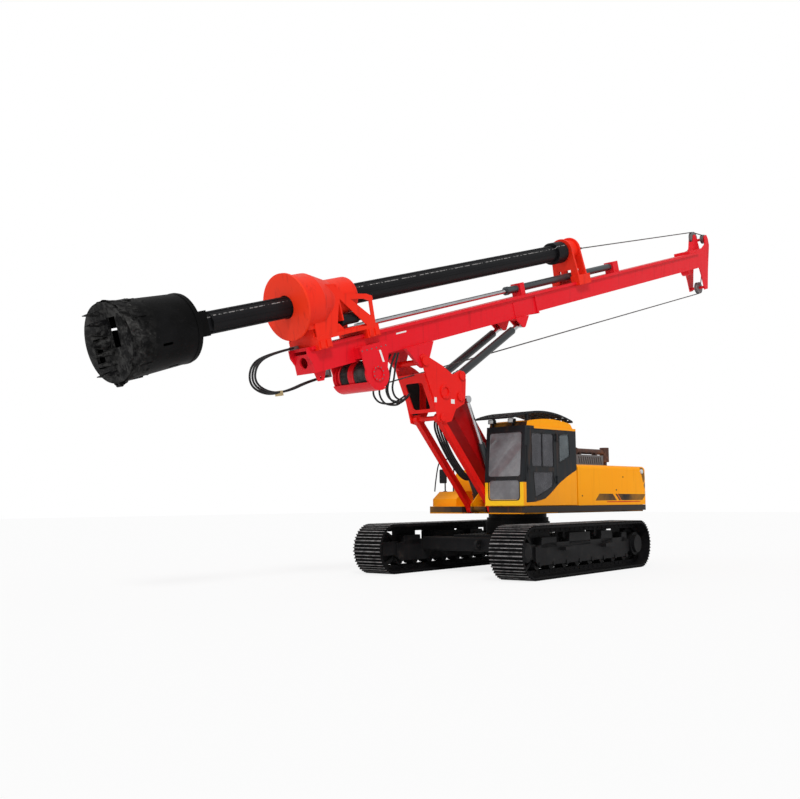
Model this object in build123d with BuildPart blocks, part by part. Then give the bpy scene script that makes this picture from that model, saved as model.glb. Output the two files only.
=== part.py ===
from build123d import *
import math
import os

os.makedirs("parts", exist_ok=True)

# Frame: x forward to the drilling tool, y to the cab side, z up, origin on the
# ground under the slewing axis. All lengths in millimetres, angles in degrees.
# Points written (x, z) lie in the machine's middle plane.

# Undercarriage
track_length = 5800
track_height = 1056
track_gauge = 3400
shoe_width = 730
shoe_count = 60
grouser_height = 36
shoe_plate = 28
link_height = 105
link_width = 200
chassis_turn = 6.5
chassis_centre = (397, 45)
slew_setback = 400

# Upper structure
deck_low = 1250
deck_plate = 160
deck_notch_x = 1120
deck_notch_y = 380
body_half_width = 1400
deck_half_width = body_half_width - 80
body_top = 2310
skirt_low = 1280
skirt_top = 1405
tail_x = -3450
deck_rear_x = tail_x + 270
cab_rear_x = -320
cab_front_x = 1600
cab_inner_y = 385
cab_floor_z = deck_low + deck_plate + 10
cab_roof_z = 3080
bay_rear_x = -2060

# Linkage points (x, z)
rod_foot = (1270, 1360)
rod_top = (2940, 3220)
boom_foot = (710, 1830)
luff_foot = (1030, 1580)
luff_eye = (2050, 3660)
mast_pivot = (3450, 4330)
lift_foot = (2320, 4130)

# Lanes across the linkage, from the middle plane
boom_half = 180
lane_y = 300
lift_lane_y = 276
triangle_out = 400
triangle_plate = 30

# Mast, in its own directions: a runs along it to the head, b stands off its
# face towards the drill rod, both from the mast pivot
mast_lean = 16.5
mast_low_b = 340
mast_high_b = 820
mast_half = 260
rail_out = 310
mast_foot_a = -2800
mast_join_a = 4300
mast_head_a = 12700
lift_eye = (3530, 200)
rod_axis_b = 1610
rod_radius = 210
crowd_axis_b = 985
winch_spot = (-1450, 35)
winch_half = 450

# Fits
gap = 0.3
run_fit = 0.05
side_gap = 5

track_end_r = track_height / 2
half_run = (track_length - track_height) / 2
lean_cos = math.cos(math.radians(mast_lean))
lean_sin = math.sin(math.radians(mast_lean))
mast_up = Vector(-lean_cos, 0, lean_sin)
mast_out = Vector(lean_sin, 0, lean_cos)
turn_cos = math.cos(math.radians(chassis_turn))
turn_sin = math.sin(math.radians(chassis_turn))
chassis_x = Vector(turn_cos, turn_sin, 0)
chassis_y = Vector(-turn_sin, turn_cos, 0)
boom_head = (boom_foot[0] + rod_top[0] - rod_foot[0], boom_foot[1] + rod_top[1] - rod_foot[1])


def side(y):
    # upright lengthwise plane at y, sketch x forward and y up, extruding to -y
    return Plane(origin=(0, y, 0), x_dir=(1, 0, 0), z_dir=(0, -1, 0))


def cross(x):
    # upright crosswise plane at x, sketch x to the left side and y up, extruding forward
    return Plane(origin=(x, 0, 0), x_dir=(0, 1, 0), z_dir=(1, 0, 0))


def chassis_spot(x, y, z):
    centre = Vector(chassis_centre[0], chassis_centre[1], z)
    return centre + chassis_x * x + chassis_y * y


def chassis_side(y):
    return Plane(origin=chassis_spot(0, y, 0), x_dir=chassis_x, z_dir=chassis_y * -1)


def chassis_cross(x):
    return Plane(origin=chassis_spot(x, 0, 0), x_dir=chassis_y, z_dir=chassis_x)


def chassis_plan(z):
    return Plane(origin=chassis_spot(0, 0, z), x_dir=chassis_x, z_dir=(0, 0, 1))


def mast_spot(a, b, y=0):
    return Vector(mast_pivot[0], y, mast_pivot[1]) + mast_up * a + mast_out * b


def mast_side(y):
    # lengthwise plane of the mast at y, sketch x along a and y along b, extruding to +y
    return Plane(origin=mast_spot(0, 0, y), x_dir=mast_up, z_dir=(0, 1, 0))


def mast_cut(a, b=0, y=0):
    # plane across the mast at a, sketch x to -y and y along b, extruding to the head
    return Plane(origin=mast_spot(a, b, y), x_dir=(0, -1, 0), z_dir=mast_up)


def mast_face(b):
    # plane parallel to the mast's face at b, sketch x along a and y to -y
    return Plane(origin=mast_spot(0, b), x_dir=mast_up, z_dir=mast_out)


def link_plane(foot, eye, y, reach=0):
    # plane across a link at a distance from its foot, extruding towards its eye
    run = Vector(eye[0] - foot[0], 0, eye[1] - foot[1]).normalized()
    spot = Vector(foot[0], y, foot[1]) + run * reach
    return Plane(origin=spot, x_dir=(0, 1, 0), z_dir=run)


def span(foot, eye):
    return math.hypot(eye[0] - foot[0], eye[1] - foot[1])


def write(builder, name):
    builder.part.label = name
    export_step(builder.part, "parts/" + name + ".step")


middle = Plane.XZ
chassis_middle = Plane(origin=chassis_spot(0, 0, 0), x_dir=chassis_x, z_dir=chassis_y)

# Tracks
tip_r = track_end_r
plate_out_r = tip_r - grouser_height
plate_in_r = plate_out_r - shoe_plate
link_in_r = plate_in_r - link_height
groove_r = plate_in_r + 10
loop_mid_r = plate_out_r - shoe_plate / 2
straight = 2 * half_run
bend = math.pi * loop_mid_r
shoe_pitch = 2 * (straight + bend) / shoe_count


def loop_point(s, r):
    # point of the track's side outline at path length s and distance r from the loop's core
    s = s % (2 * (straight + bend))
    if s < straight:
        return (-half_run + s, track_end_r - r)
    s -= straight
    if s < bend:
        t = s / loop_mid_r
        return (half_run + r * math.sin(t), track_end_r - r * math.cos(t))
    s -= bend
    if s < straight:
        return (half_run - s, track_end_r + r)
    t = (s - straight) / loop_mid_r
    return (-half_run - r * math.sin(t), track_end_r + r * math.cos(t))


# one shoe: (share of the pitch, distance from the loop's core)
shoe_outline = (
    (0.03, groove_r),
    (0.03, plate_out_r),
    (0.14, plate_out_r),
    (0.17, tip_r),
    (0.27, tip_r),
    (0.30, plate_out_r),
    (0.97, plate_out_r),
    (0.97, groove_r),
)


def make_track(name, y):
    outline = []
    for shoe in range(shoe_count):
        for share, r in shoe_outline:
            outline.append(loop_point((shoe + share) * shoe_pitch, r))
    with BuildPart() as track:
        with BuildSketch(chassis_side(y)):
            with BuildLine():
                Polyline(*outline, close=True)
            make_face()
            with Locations((0, track_end_r)):
                SlotCenterToCenter(straight, 2 * plate_in_r, mode=Mode.SUBTRACT)
        extrude(amount=shoe_width / 2, both=True)
        with BuildSketch(chassis_side(y)):
            with Locations((0, track_end_r)):
                SlotCenterToCenter(straight, 2 * plate_in_r + 6)
                SlotCenterToCenter(straight, 2 * link_in_r, mode=Mode.SUBTRACT)
        extrude(amount=link_width / 2, both=True)
    write(track, name)


make_track("track_left", track_gauge / 2)
make_track("track_right", -track_gauge / 2)

# Idlers at the front, sprockets with their final drives at the rear
wheel_r = link_in_r - gap
hub_width = 280
with BuildPart() as idlers:
    for y in (track_gauge / 2, -track_gauge / 2):
        with BuildSketch(chassis_side(y)):
            with Locations((half_run, track_end_r)):
                Circle(wheel_r)
                Circle(wheel_r - 70, mode=Mode.SUBTRACT)
        extrude(amount=85, both=True)
        with BuildSketch(chassis_side(y)):
            with Locations((half_run, track_end_r)):
                Circle(wheel_r - 60)
                with PolarLocations(185, 5):
                    Circle(48, mode=Mode.SUBTRACT)
        extrude(amount=25, both=True)
        with BuildSketch(chassis_side(y)):
            with Locations((half_run, track_end_r)):
                Circle(95)
        extrude(amount=hub_width / 2, both=True)
write(idlers, "idler_wheels")

tooth_count = 22
with BuildPart() as sprockets:
    for y, outward in ((track_gauge / 2, 1), (-track_gauge / 2, -1)):
        with BuildSketch(chassis_side(y)):
            with Locations((-half_run, track_end_r)):
                Circle(wheel_r)
                with PolarLocations(wheel_r, tooth_count):
                    Circle(24, mode=Mode.SUBTRACT)
        extrude(amount=35, both=True)
        with BuildSketch(chassis_side(y + outward * 30)):
            with Locations((-half_run, track_end_r)):
                Circle(255)
        extrude(amount=-outward * 190)
        with BuildSketch(chassis_side(y + outward * 215)):
            with Locations((-half_run, track_end_r)):
                Circle(195)
        extrude(amount=-outward * 70)
        with BuildSketch(chassis_side(y - outward * 30)):
            with Locations((-half_run, track_end_r)):
                Circle(225)
        extrude(amount=outward * 230)
write(sprockets, "drive_sprockets")

# Track frames, with cheeks that hold the rollers
beam_half = 190
cheek_in = 132
beam_low = 405
beam_top = 690
cheek_low = 262
beam_rear = -half_run + 235 + 40
beam_front = half_run - 290
roller_r = 115
roller_z = track_end_r - link_in_r + gap + roller_r
roller_pin = 45


def frame_side_outline():
    # box beam with a slope down at each end
    Polyline(
        (beam_rear, beam_low),
        (beam_rear, beam_top - 60),
        (beam_rear + 260, beam_top),
        (beam_front - 420, beam_top),
        (beam_front, beam_top - 70),
        (beam_front, beam_low),
        close=True,
    )


bottom_roller_count = 8
roller_row = beam_front - beam_rear - 300
roller_step = roller_row / (bottom_roller_count - 1)
roller_mid = (beam_front + beam_rear) / 2


def make_track_frame(name, y, outward):
    with BuildPart() as frame:
        with BuildSketch(chassis_side(y)):
            with BuildLine():
                frame_side_outline()
            make_face()
        extrude(amount=beam_half, both=True)
        with BuildSketch(chassis_side(y)):
            with Locations((roller_mid, (beam_low + cheek_low) / 2)):
                Rectangle(beam_front - beam_rear, beam_low - cheek_low + 2)
            with Locations((beam_rear, cheek_low), (beam_front, cheek_low)):
                Rectangle(220, 120, rotation=45, mode=Mode.SUBTRACT)
        extrude(amount=beam_half, both=True)
        with BuildSketch(chassis_cross(beam_rear - 10)):
            with Locations((y, (beam_low + cheek_low) / 2 - 20)):
                Rectangle(2 * cheek_in, beam_low - cheek_low + 40)
        extrude(amount=beam_front - beam_rear + 20, mode=Mode.SUBTRACT)
        with BuildSketch(chassis_side(y)):
            with Locations((roller_mid, roller_z)):
                with GridLocations(roller_step, 10, bottom_roller_count, 1):
                    Circle(roller_pin + run_fit)
        extrude(amount=beam_half + 10, both=True, mode=Mode.SUBTRACT)
        # idler yoke at the front end
        with BuildSketch(chassis_side(y)):
            with Locations(((beam_front + half_run) / 2 + 40, track_end_r)):
                Rectangle(half_run - beam_front + 240, 290)
            with Locations((half_run, track_end_r)):
                Circle(95 + run_fit, mode=Mode.SUBTRACT)
        extrude(amount=hub_width / 2, both=True)
        with BuildSketch(chassis_side(y)):
            with Locations(((beam_front + half_run) / 2 + 90, track_end_r)):
                Rectangle(half_run - beam_front + 400, 2 * wheel_r + 60)
        extrude(amount=95, both=True, mode=Mode.SUBTRACT)
        with BuildSketch(chassis_side(y)):
            with Locations((-half_run, track_end_r)):
                Circle(wheel_r + 15)
        extrude(amount=50, both=True, mode=Mode.SUBTRACT)
        # carrier roller posts and outer steps
        with BuildSketch(chassis_side(y)):
            with Locations((-620, 740), (760, 740)):
                Rectangle(90, 140)
        extrude(amount=30, both=True)
        with BuildSketch(chassis_side(y + outward * beam_half)):
            with Locations((-900, 560), (900, 560)):
                Rectangle(420, 70)
        extrude(amount=-outward * 130)
    write(frame, name)


make_track_frame("track_frame_left", track_gauge / 2, 1)
make_track_frame("track_frame_right", -track_gauge / 2, -1)

with BuildPart() as rollers:
    for y in (track_gauge / 2, -track_gauge / 2):
        with BuildSketch(chassis_side(y)):
            with Locations((roller_mid, roller_z)):
                with GridLocations(roller_step, 10, bottom_roller_count, 1):
                    Circle(roller_r)
        extrude(amount=cheek_in - side_gap, both=True)
        with BuildSketch(chassis_side(y)):
            with Locations((roller_mid, roller_z)):
                with GridLocations(roller_step, 10, bottom_roller_count, 1):
                    Circle(roller_pin)
        extrude(amount=beam_half + 15, both=True)
write(rollers, "bottom_rollers")

carrier_r = 70
carrier_z = track_end_r + link_in_r - gap - carrier_r
with BuildPart() as carriers:
    for y in (track_gauge / 2, -track_gauge / 2):
        with BuildSketch(chassis_side(y)):
            with Locations((-620, carrier_z), (760, carrier_z)):
                Circle(carrier_r)
        extrude(amount=100, both=True)
        with BuildSketch(chassis_side(y)):
            with Locations((-620, 740), (760, 740)):
                Rectangle(90 + 2 * gap, 140 + 2 * gap)
        extrude(amount=30 + gap, both=True, mode=Mode.SUBTRACT)
write(carriers, "carrier_rollers")

# Car body: tub under the slewing bearing and two box beams to the track frames
tub_r = 720
tub_low = 470
tub_top = 1060
tow_hole_r = 45
tow_plate = 60
beam_reach = track_gauge / 2 - beam_half - gap
with BuildPart() as car_body:
    with BuildSketch(chassis_plan(tub_low)):
        with Locations((-slew_setback, 0)):
            Circle(tub_r + 120)
        Rectangle(2100, 1500)
    extrude(amount=330)
    with BuildSketch(chassis_plan(tub_low)):
        with Locations((-slew_setback, 0)):
            Circle(tub_r)
    extrude(amount=tub_top - tub_low)
    for beam_x in (-1250, 950):
        with BuildSketch(chassis_side(0)):
            with Locations((beam_x, 600)):
                RectangleRounded(430, 300, 40)
        extrude(amount=beam_reach, both=True)
    for end_x, way in ((1050, 1), (-1050, -1)):
        with BuildSketch(chassis_side(0)):
            with Locations((end_x + way * 120, 600)):
                SlotOverall(360, 190)
            with Locations((end_x + way * 205, 600)):
                Circle(tow_hole_r, mode=Mode.SUBTRACT)
        extrude(amount=tow_plate / 2, both=True)
write(car_body, "car_body")

bearing_r = 650
bearing_top = deck_low - gap
bearing_split = 1150
with BuildPart() as bearing_low:
    with BuildSketch(Plane.XY.offset(tub_top + gap)):
        Circle(bearing_r + 40)
        Circle(bearing_r - 150, mode=Mode.SUBTRACT)
    extrude(amount=bearing_split - tub_top - 2 * gap)
write(bearing_low, "slew_bearing_lower")

with BuildPart() as bearing_high:
    with BuildSketch(Plane.XY.offset(bearing_split)):
        Circle(bearing_r)
        Circle(bearing_r - 130, mode=Mode.SUBTRACT)
    extrude(amount=bearing_top - bearing_split)
write(bearing_high, "slew_bearing_upper")

# Deck with the cheeks that carry the boom, its cylinders and the support rods
deck_front_x = cab_front_x - 120
cheek_y = boom_half + side_gap
cheek_plate = 30
cheek_rear_x = -340
pin_r = 60
with BuildPart() as deck:
    with BuildSketch(Plane.XY.offset(deck_low)):
        with BuildLine():
            Polyline(
                (deck_rear_x, -deck_half_width),
                (deck_rear_x, deck_half_width),
                (deck_front_x, deck_half_width),
                (deck_front_x, deck_notch_y),
                (deck_notch_x, deck_notch_y),
                (deck_notch_x, -deck_notch_y),
                (1240, -deck_notch_y),
                (1240, -deck_half_width),
                close=True,
            )
        make_face()
    extrude(amount=deck_plate)
    with BuildSketch(side(cheek_y + cheek_plate)):
        with BuildLine():
            Polyline(
                (cheek_rear_x, deck_low + deck_plate),
                (cheek_rear_x, deck_low + 420),
                (300, boom_foot[1] + 90),
                (boom_foot[0] + 60, boom_foot[1] + 150),
                (boom_foot[0] + 230, boom_foot[1] + 20),
                (luff_foot[0] + 130, luff_foot[1] + 60),
                (rod_foot[0] + 100, rod_foot[1] + 100),
                (rod_foot[0] + 120, rod_foot[1] - 60),
                (rod_foot[0] - 40, deck_low),
                (cheek_rear_x, deck_low),
                close=True,
            )
        make_face()
    extrude(amount=cheek_plate)
    mirror(about=middle)
    with BuildSketch(side(0)):
        with Locations(boom_foot):
            Circle(pin_r)
    extrude(amount=cheek_y + cheek_plate + 20, both=True)
    with BuildSketch(side(0)):
        with Locations(luff_foot, rod_foot):
            Circle(pin_r - 10)
    extrude(amount=lane_y + 75, both=True)
write(deck, "deck_frame")

skirt_front_left = cab_front_x - 40
skirt_front_right = 1290
tail_side_x = tail_x + 200
tail_corner_r = 150


def tail_outline(*front):
    # plan outline with straight sides and a rounded tail, front points from right to left
    left = Line(front[-1], (tail_side_x, body_half_width))
    ThreePointArc(left @ 1, (tail_x, 0), (tail_side_x, -body_half_width))
    Polyline((tail_side_x, -body_half_width), *front)


def tail_corners(builder):
    # upright edges at the ends of the tail's arc
    edges = builder.edges().filter_by(Axis.Z).sort_by(Axis.X)
    return edges[:2]


with BuildPart() as skirts:
    with BuildSketch(Plane.XY.offset(skirt_low)):
        with BuildLine():
            tail_outline(
                (skirt_front_right, -body_half_width),
                (skirt_front_right, 0),
                (skirt_front_left, 0),
                (skirt_front_left, body_half_width),
            )
        make_face()
    extrude(amount=skirt_top - skirt_low)
    fillet(tail_corners(skirts), tail_corner_r)
    with BuildSketch(Plane.XY.offset(skirt_low - 1)):
        with Locations(((deck_rear_x + skirt_front_left) / 2 + 100, 0)):
            Rectangle(
                skirt_front_left - deck_rear_x + 200 + 2 * gap,
                2 * (deck_half_width + gap),
            )
    extrude(amount=skirt_top - skirt_low + 2, mode=Mode.SUBTRACT)
write(skirts, "deck_skirts")

# Counterweight with a rounded tail
body_low = deck_low + deck_plate + gap
with BuildPart() as counterweight:
    with BuildSketch(Plane.XY.offset(body_low)):
        with BuildLine():
            tail_outline(
                (bay_rear_x - gap, -body_half_width),
                (bay_rear_x - gap, body_half_width),
            )
        make_face()
    extrude(amount=body_top - body_low)
    fillet(tail_corners(counterweight), tail_corner_r)
    top_edges = counterweight.faces().sort_by(Axis.Z)[-1].edges().sort_by(Axis.X)
    fillet(top_edges[:-1], 90)
write(counterweight, "counterweight")

# Body bays behind the cab and along the right side, with the engine bay between
bay_front_x = cab_rear_x - 40
bay_inner_y = 620
with BuildPart() as left_bay:
    with BuildSketch(side(body_half_width)):
        with Locations(((bay_front_x + bay_rear_x) / 2, (body_low + body_top) / 2)):
            Rectangle(bay_front_x - bay_rear_x, body_top - body_low)
    extrude(amount=body_half_width - bay_inner_y)
    fillet(left_bay.faces().sort_by(Axis.Z)[-1].edges().filter_by(Axis.X).sort_by(Axis.Y)[-1], 90)
write(left_bay, "left_body")

right_front_x = 0
with BuildPart() as right_bay:
    with BuildSketch(side(-bay_inner_y)):
        with Locations(((right_front_x + bay_rear_x) / 2, (body_low + body_top) / 2)):
            Rectangle(right_front_x - bay_rear_x, body_top - body_low)
    extrude(amount=body_half_width - bay_inner_y)
    fillet(right_bay.faces().sort_by(Axis.Z)[-1].edges().filter_by(Axis.X).sort_by(Axis.Y)[0], 90)
write(right_bay, "right_body")

hood_wall = 12
hood_low = 2000
with BuildPart() as hood:
    with BuildSketch(cross(bay_rear_x + gap)):
        with Locations((0, (hood_low + body_top) / 2)):
            Rectangle(2 * (bay_inner_y - gap), body_top - hood_low)
        with Locations((0, (hood_low + body_top) / 2 - hood_wall)):
            Rectangle(2 * (bay_inner_y - gap - hood_wall), body_top - hood_low, mode=Mode.SUBTRACT)
    extrude(amount=bay_front_x - bay_rear_x - gap)
    with BuildSketch(cross(bay_front_x - hood_wall)):
        with Locations((0, (body_low + body_top) / 2)):
            Rectangle(2 * (bay_inner_y - gap), body_top - body_low)
    extrude(amount=hood_wall)
write(hood, "engine_hood")

with BuildPart() as engine:
    with BuildSketch(Plane.XY.offset(body_low)):
        with Locations((-1400, 0)):
            Rectangle(1150, 820)
    extrude(amount=620)
write(engine, "engine_block")

# Louvre box on the left bay, with the exhaust lying over it
louvre_front_x = -950
louvre_rear_x = -2050
louvre_out_y = 980
louvre_top = 2560
exhaust_y = 800
exhaust_z = 2650
exhaust_r = 65
stack_x = -2380
with BuildPart() as louvre_box:
    with BuildSketch(Plane.XY.offset(body_top + gap)):
        with Locations(((louvre_front_x + louvre_rear_x) / 2, louvre_out_y - 265)):
            Rectangle(louvre_front_x - louvre_rear_x, 530)
    extrude(amount=louvre_top - body_top - gap)
    with BuildSketch(side(louvre_out_y + 1)):
        with Locations(((louvre_front_x + louvre_rear_x) / 2, (body_top + louvre_top) / 2)):
            with GridLocations(88, 10, 11, 1):
                Rectangle(40, 170, rotation=-14)
    extrude(amount=25, mode=Mode.SUBTRACT)
write(louvre_box, "hood_louvre_box")

with BuildPart() as exhaust:
    with BuildSketch(Plane(origin=(-1170, exhaust_y, exhaust_z), x_dir=(0, 1, 0), z_dir=(-1, 0, 0))):
        Circle(exhaust_r)
    extrude(amount=-1170 - stack_x)
    with BuildSketch(cross(-1190)):
        with Locations((exhaust_y, exhaust_z)):
            Circle(exhaust_r + 18)
    extrude(amount=20)
    for saddle_x in (-1300, -1950):
        with BuildSketch(Plane.XY.offset(louvre_top + gap)):
            with Locations((saddle_x, exhaust_y)):
                Rectangle(60, 110)
        extrude(amount=exhaust_z - louvre_top - 30)
    # stack with a wider outlet, on a foot
    with BuildSketch(Plane.XY.offset(body_top + gap)):
        with Locations((stack_x, exhaust_y)):
            Circle(55)
    extrude(amount=200)
    with BuildSketch(Plane.XY.offset(body_top + 110)):
        with Locations((stack_x, exhaust_y)):
            Circle(108)
    extrude(amount=2760 - body_top - 110)
    with BuildSketch(Plane.XY.offset(2760)):
        with Locations((stack_x, exhaust_y)):
            Circle(88)
    extrude(amount=-70, mode=Mode.SUBTRACT)
write(exhaust, "exhaust_pipe")

# Right front: storage box and fuel tank with its hump
box_inner_y = 700
box_rear_x = 560
with BuildPart() as front_box:
    with BuildSketch(side(-box_inner_y)):
        with BuildLine():
            Polyline(
                (box_rear_x, body_low),
                (box_rear_x, 1740),
                (1060, 1740),
                (skirt_front_right, 1570),
                (skirt_front_right, body_low),
                close=True,
            )
        make_face()
    extrude(amount=body_half_width - box_inner_y)
    fillet(front_box.edges().filter_by(Axis.Y).sort_by(Axis.Z)[-2:], 60)
write(front_box, "storage_box")

with BuildPart() as tank:
    with BuildSketch(side(-box_inner_y)):
        with BuildLine():
            Polyline(
                (right_front_x + gap, body_low),
                (right_front_x + gap, 2240),
                (430, 2240),
                (box_rear_x - gap, 2000),
                (box_rear_x - gap, body_low),
                close=True,
            )
        make_face()
    extrude(amount=body_half_width - box_inner_y)
    fillet(tank.edges().filter_by(Axis.Y).sort_by(Axis.Z)[-2:], 110)
write(tank, "fuel_tank")

mirror_x = 980
mirror_y = -1300
with BuildPart() as mirror_stay:
    with BuildSketch(Plane.XY.offset(1740 + gap)):
        with Locations((mirror_x, mirror_y)):
            Circle(16)
    extrude(amount=520)
    with BuildSketch(Plane.XY.offset(1740 + gap)):
        with Locations((mirror_x, mirror_y)):
            Circle(45)
    extrude(amount=12)
    with BuildSketch(cross(mirror_x - 20)):
        with Locations((mirror_y - 60, 2090)):
            RectangleRounded(190, 320, 30)
    extrude(amount=40)
write(mirror_stay, "mirror_stay")

# Cab: hollow shell with posts, door opening and windows
cab_wall = 50
cab_mid_y = (body_half_width + cab_inner_y) / 2
cab_slope_z = cab_floor_z + 600
cab_slope = 96
door_rear_x = cab_rear_x + 756
door_top = cab_roof_z - 70
door_low = cab_floor_z + 80
door_gap = 6
hinge_heights = (1960, 2860)
hinge_x = door_rear_x - 6
hinge_y = body_half_width + 22
hinge_pin_r = 12
knuckle_r = 20


def cab_profile(inset):
    Polyline(
        (cab_rear_x + inset, cab_floor_z + inset),
        (cab_rear_x + inset, cab_roof_z - inset),
        (cab_front_x - cab_slope - inset, cab_roof_z - inset),
        (cab_front_x - inset, cab_slope_z),
        (cab_front_x - inset, cab_floor_z + inset),
        close=True,
    )


def door_outline():
    # the lower rear corner is cut by the sweep of the body's paint line
    low = Line((cab_front_x - 100, door_low), (door_rear_x + 794, door_low))
    ThreePointArc(low @ 1, (door_rear_x + 324, door_low + 115), (door_rear_x, door_low + 322))
    Polyline(
        (door_rear_x, door_low + 322),
        (door_rear_x, door_top),
        (cab_front_x - 200, door_top),
        (cab_front_x - 130, cab_slope_z),
        (cab_front_x - 100, door_low),
    )


with BuildPart() as cab:
    with BuildSketch(side(body_half_width)):
        with BuildLine():
            cab_profile(0)
        make_face()
    extrude(amount=body_half_width - cab_inner_y)
    with BuildSketch(side(body_half_width - cab_wall)):
        with BuildLine():
            cab_profile(cab_wall)
        make_face()
    extrude(amount=body_half_width - cab_inner_y - 2 * cab_wall, mode=Mode.SUBTRACT)
    # door opening and rear quarter window in the left wall, window in the right wall
    with BuildSketch(side(body_half_width + 10)) as door_opening:
        with BuildLine():
            door_outline()
        make_face()
        offset(amount=door_gap, mode=Mode.REPLACE, kind=Kind.INTERSECTION)
    extrude(amount=cab_wall + 20, mode=Mode.SUBTRACT)
    with BuildSketch(side(body_half_width + 10)) as quarter_window:
        with BuildLine():
            Polyline(
                (door_rear_x - 110, 2300),
                (door_rear_x - 110, 2950),
                (cab_rear_x + 258, 2990),
                (cab_rear_x + 210, 2450),
                close=True,
            )
        make_face()
        fillet(quarter_window.vertices(), 40)
    extrude(amount=cab_wall + 20, mode=Mode.SUBTRACT)
    with BuildSketch(side(cab_inner_y + cab_wall + 10)):
        with Locations(((cab_rear_x + cab_front_x) / 2 - 20, 2520)):
            RectangleRounded(cab_front_x - cab_rear_x - 360, 900, 60)
    extrude(amount=cab_wall + 20, mode=Mode.SUBTRACT)
    # windscreen, lower pane and rear window
    with BuildSketch(cross(cab_front_x - 250)):
        with Locations((cab_mid_y, 2490)):
            RectangleRounded(body_half_width - cab_inner_y - 170, 920, 60)
        with Locations((cab_mid_y, 1745)):
            RectangleRounded(body_half_width - cab_inner_y - 230, 400, 60)
    extrude(amount=300, mode=Mode.SUBTRACT)
    with BuildSketch(cross(cab_rear_x - 10)):
        with Locations((cab_mid_y, 2680)):
            RectangleRounded(body_half_width - cab_inner_y - 210, 560, 60)
    extrude(amount=cab_wall + 20, mode=Mode.SUBTRACT)
    # hinge knuckles with their pins
    for hinge_z in hinge_heights:
        for low_z in (hinge_z - 80, hinge_z + 40):
            with BuildSketch(Plane.XY.offset(low_z)):
                with Locations((hinge_x, hinge_y)):
                    Circle(knuckle_r)
                with Locations((hinge_x - 45, body_half_width + 6)):
                    Rectangle(80, 14)
                with Locations((hinge_x - 12, (body_half_width + hinge_y) / 2)):
                    Rectangle(16, hinge_y - body_half_width)
            extrude(amount=40)
        with BuildSketch(Plane.XY.offset(hinge_z - 80)):
            with Locations((hinge_x, hinge_y)):
                Circle(hinge_pin_r)
        extrude(amount=160)
write(cab, "cab_shell")

with BuildPart() as door:
    with BuildSketch(side(body_half_width)) as leaf:
        with BuildLine():
            door_outline()
        make_face()
    extrude(amount=cab_wall)
    with BuildSketch(side(body_half_width + 1)):
        with Locations(((door_rear_x + cab_front_x - 225) / 2, 2585)):
            RectangleRounded(cab_front_x - door_rear_x - 375, 730, 40)
    extrude(amount=cab_wall + 2, mode=Mode.SUBTRACT)
    with BuildSketch(side(body_half_width + 1)) as lower_light:
        with BuildLine():
            Polyline(
                (door_rear_x + 82, 2137),
                (cab_front_x - 337, 2125),
                (cab_front_x - 400, door_low + 70),
                (door_rear_x + 110, 1810),
                close=True,
            )
        make_face()
        fillet(lower_light.vertices(), 30)
    extrude(amount=cab_wall + 2, mode=Mode.SUBTRACT)
    for hinge_z in hinge_heights:
        with BuildSketch(Plane.XY.offset(hinge_z - 40 + gap)):
            with Locations((hinge_x, hinge_y)):
                Circle(knuckle_r)
            with Locations((hinge_x + 45, body_half_width + 6)):
                Rectangle(80, 14)
            with Locations((hinge_x + 14, (body_half_width + hinge_y) / 2)):
                Rectangle(16, hinge_y - body_half_width)
            with Locations((hinge_x, hinge_y)):
                Circle(hinge_pin_r + run_fit, mode=Mode.SUBTRACT)
        extrude(amount=80 - 2 * gap)
write(door, "cab_door")

with BuildPart() as cab_mounts:
    with BuildSketch(Plane.XY.offset(deck_low + deck_plate + gap)):
        with Locations(((cab_rear_x + cab_front_x - 160) / 2, cab_mid_y)):
            with GridLocations(1400, 800, 2, 2):
                Circle(70)
    extrude(amount=cab_floor_z - deck_low - deck_plate - 2 * gap)
write(cab_mounts, "cab_mounts")

# Seat between its consoles
seat_x = 430
seat_foot_z = cab_floor_z + cab_wall + gap
with BuildPart() as interior:
    with BuildSketch(Plane.XY.offset(seat_foot_z)):
        with Locations((seat_x, cab_mid_y)):
            Rectangle(420, 420)
    extrude(amount=300)
    with BuildSketch(side(cab_mid_y + 250)):
        with Locations((seat_x, seat_foot_z + 360)):
            RectangleRounded(560, 140, 50)
        with Locations((seat_x - 235, seat_foot_z + 750)):
            RectangleRounded(120, 760, 50, rotation=6)
    extrude(amount=500)
    for y in (cab_mid_y + 320, cab_mid_y - 320):
        with BuildSketch(side(y + 60)):
            with BuildLine():
                Polyline(
                    (seat_x - 150, seat_foot_z),
                    (seat_x - 150, seat_foot_z + 560),
                    (seat_x + 260, seat_foot_z + 560),
                    (seat_x + 330, seat_foot_z + 500),
                    (seat_x + 200, seat_foot_z),
                    close=True,
                )
            make_face()
        extrude(amount=120)
        with BuildSketch(Plane.XY.offset(seat_foot_z + 550)):
            with Locations((seat_x + 240, y)):
                Circle(14)
        extrude(amount=150)
write(interior, "cab_interior")

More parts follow.
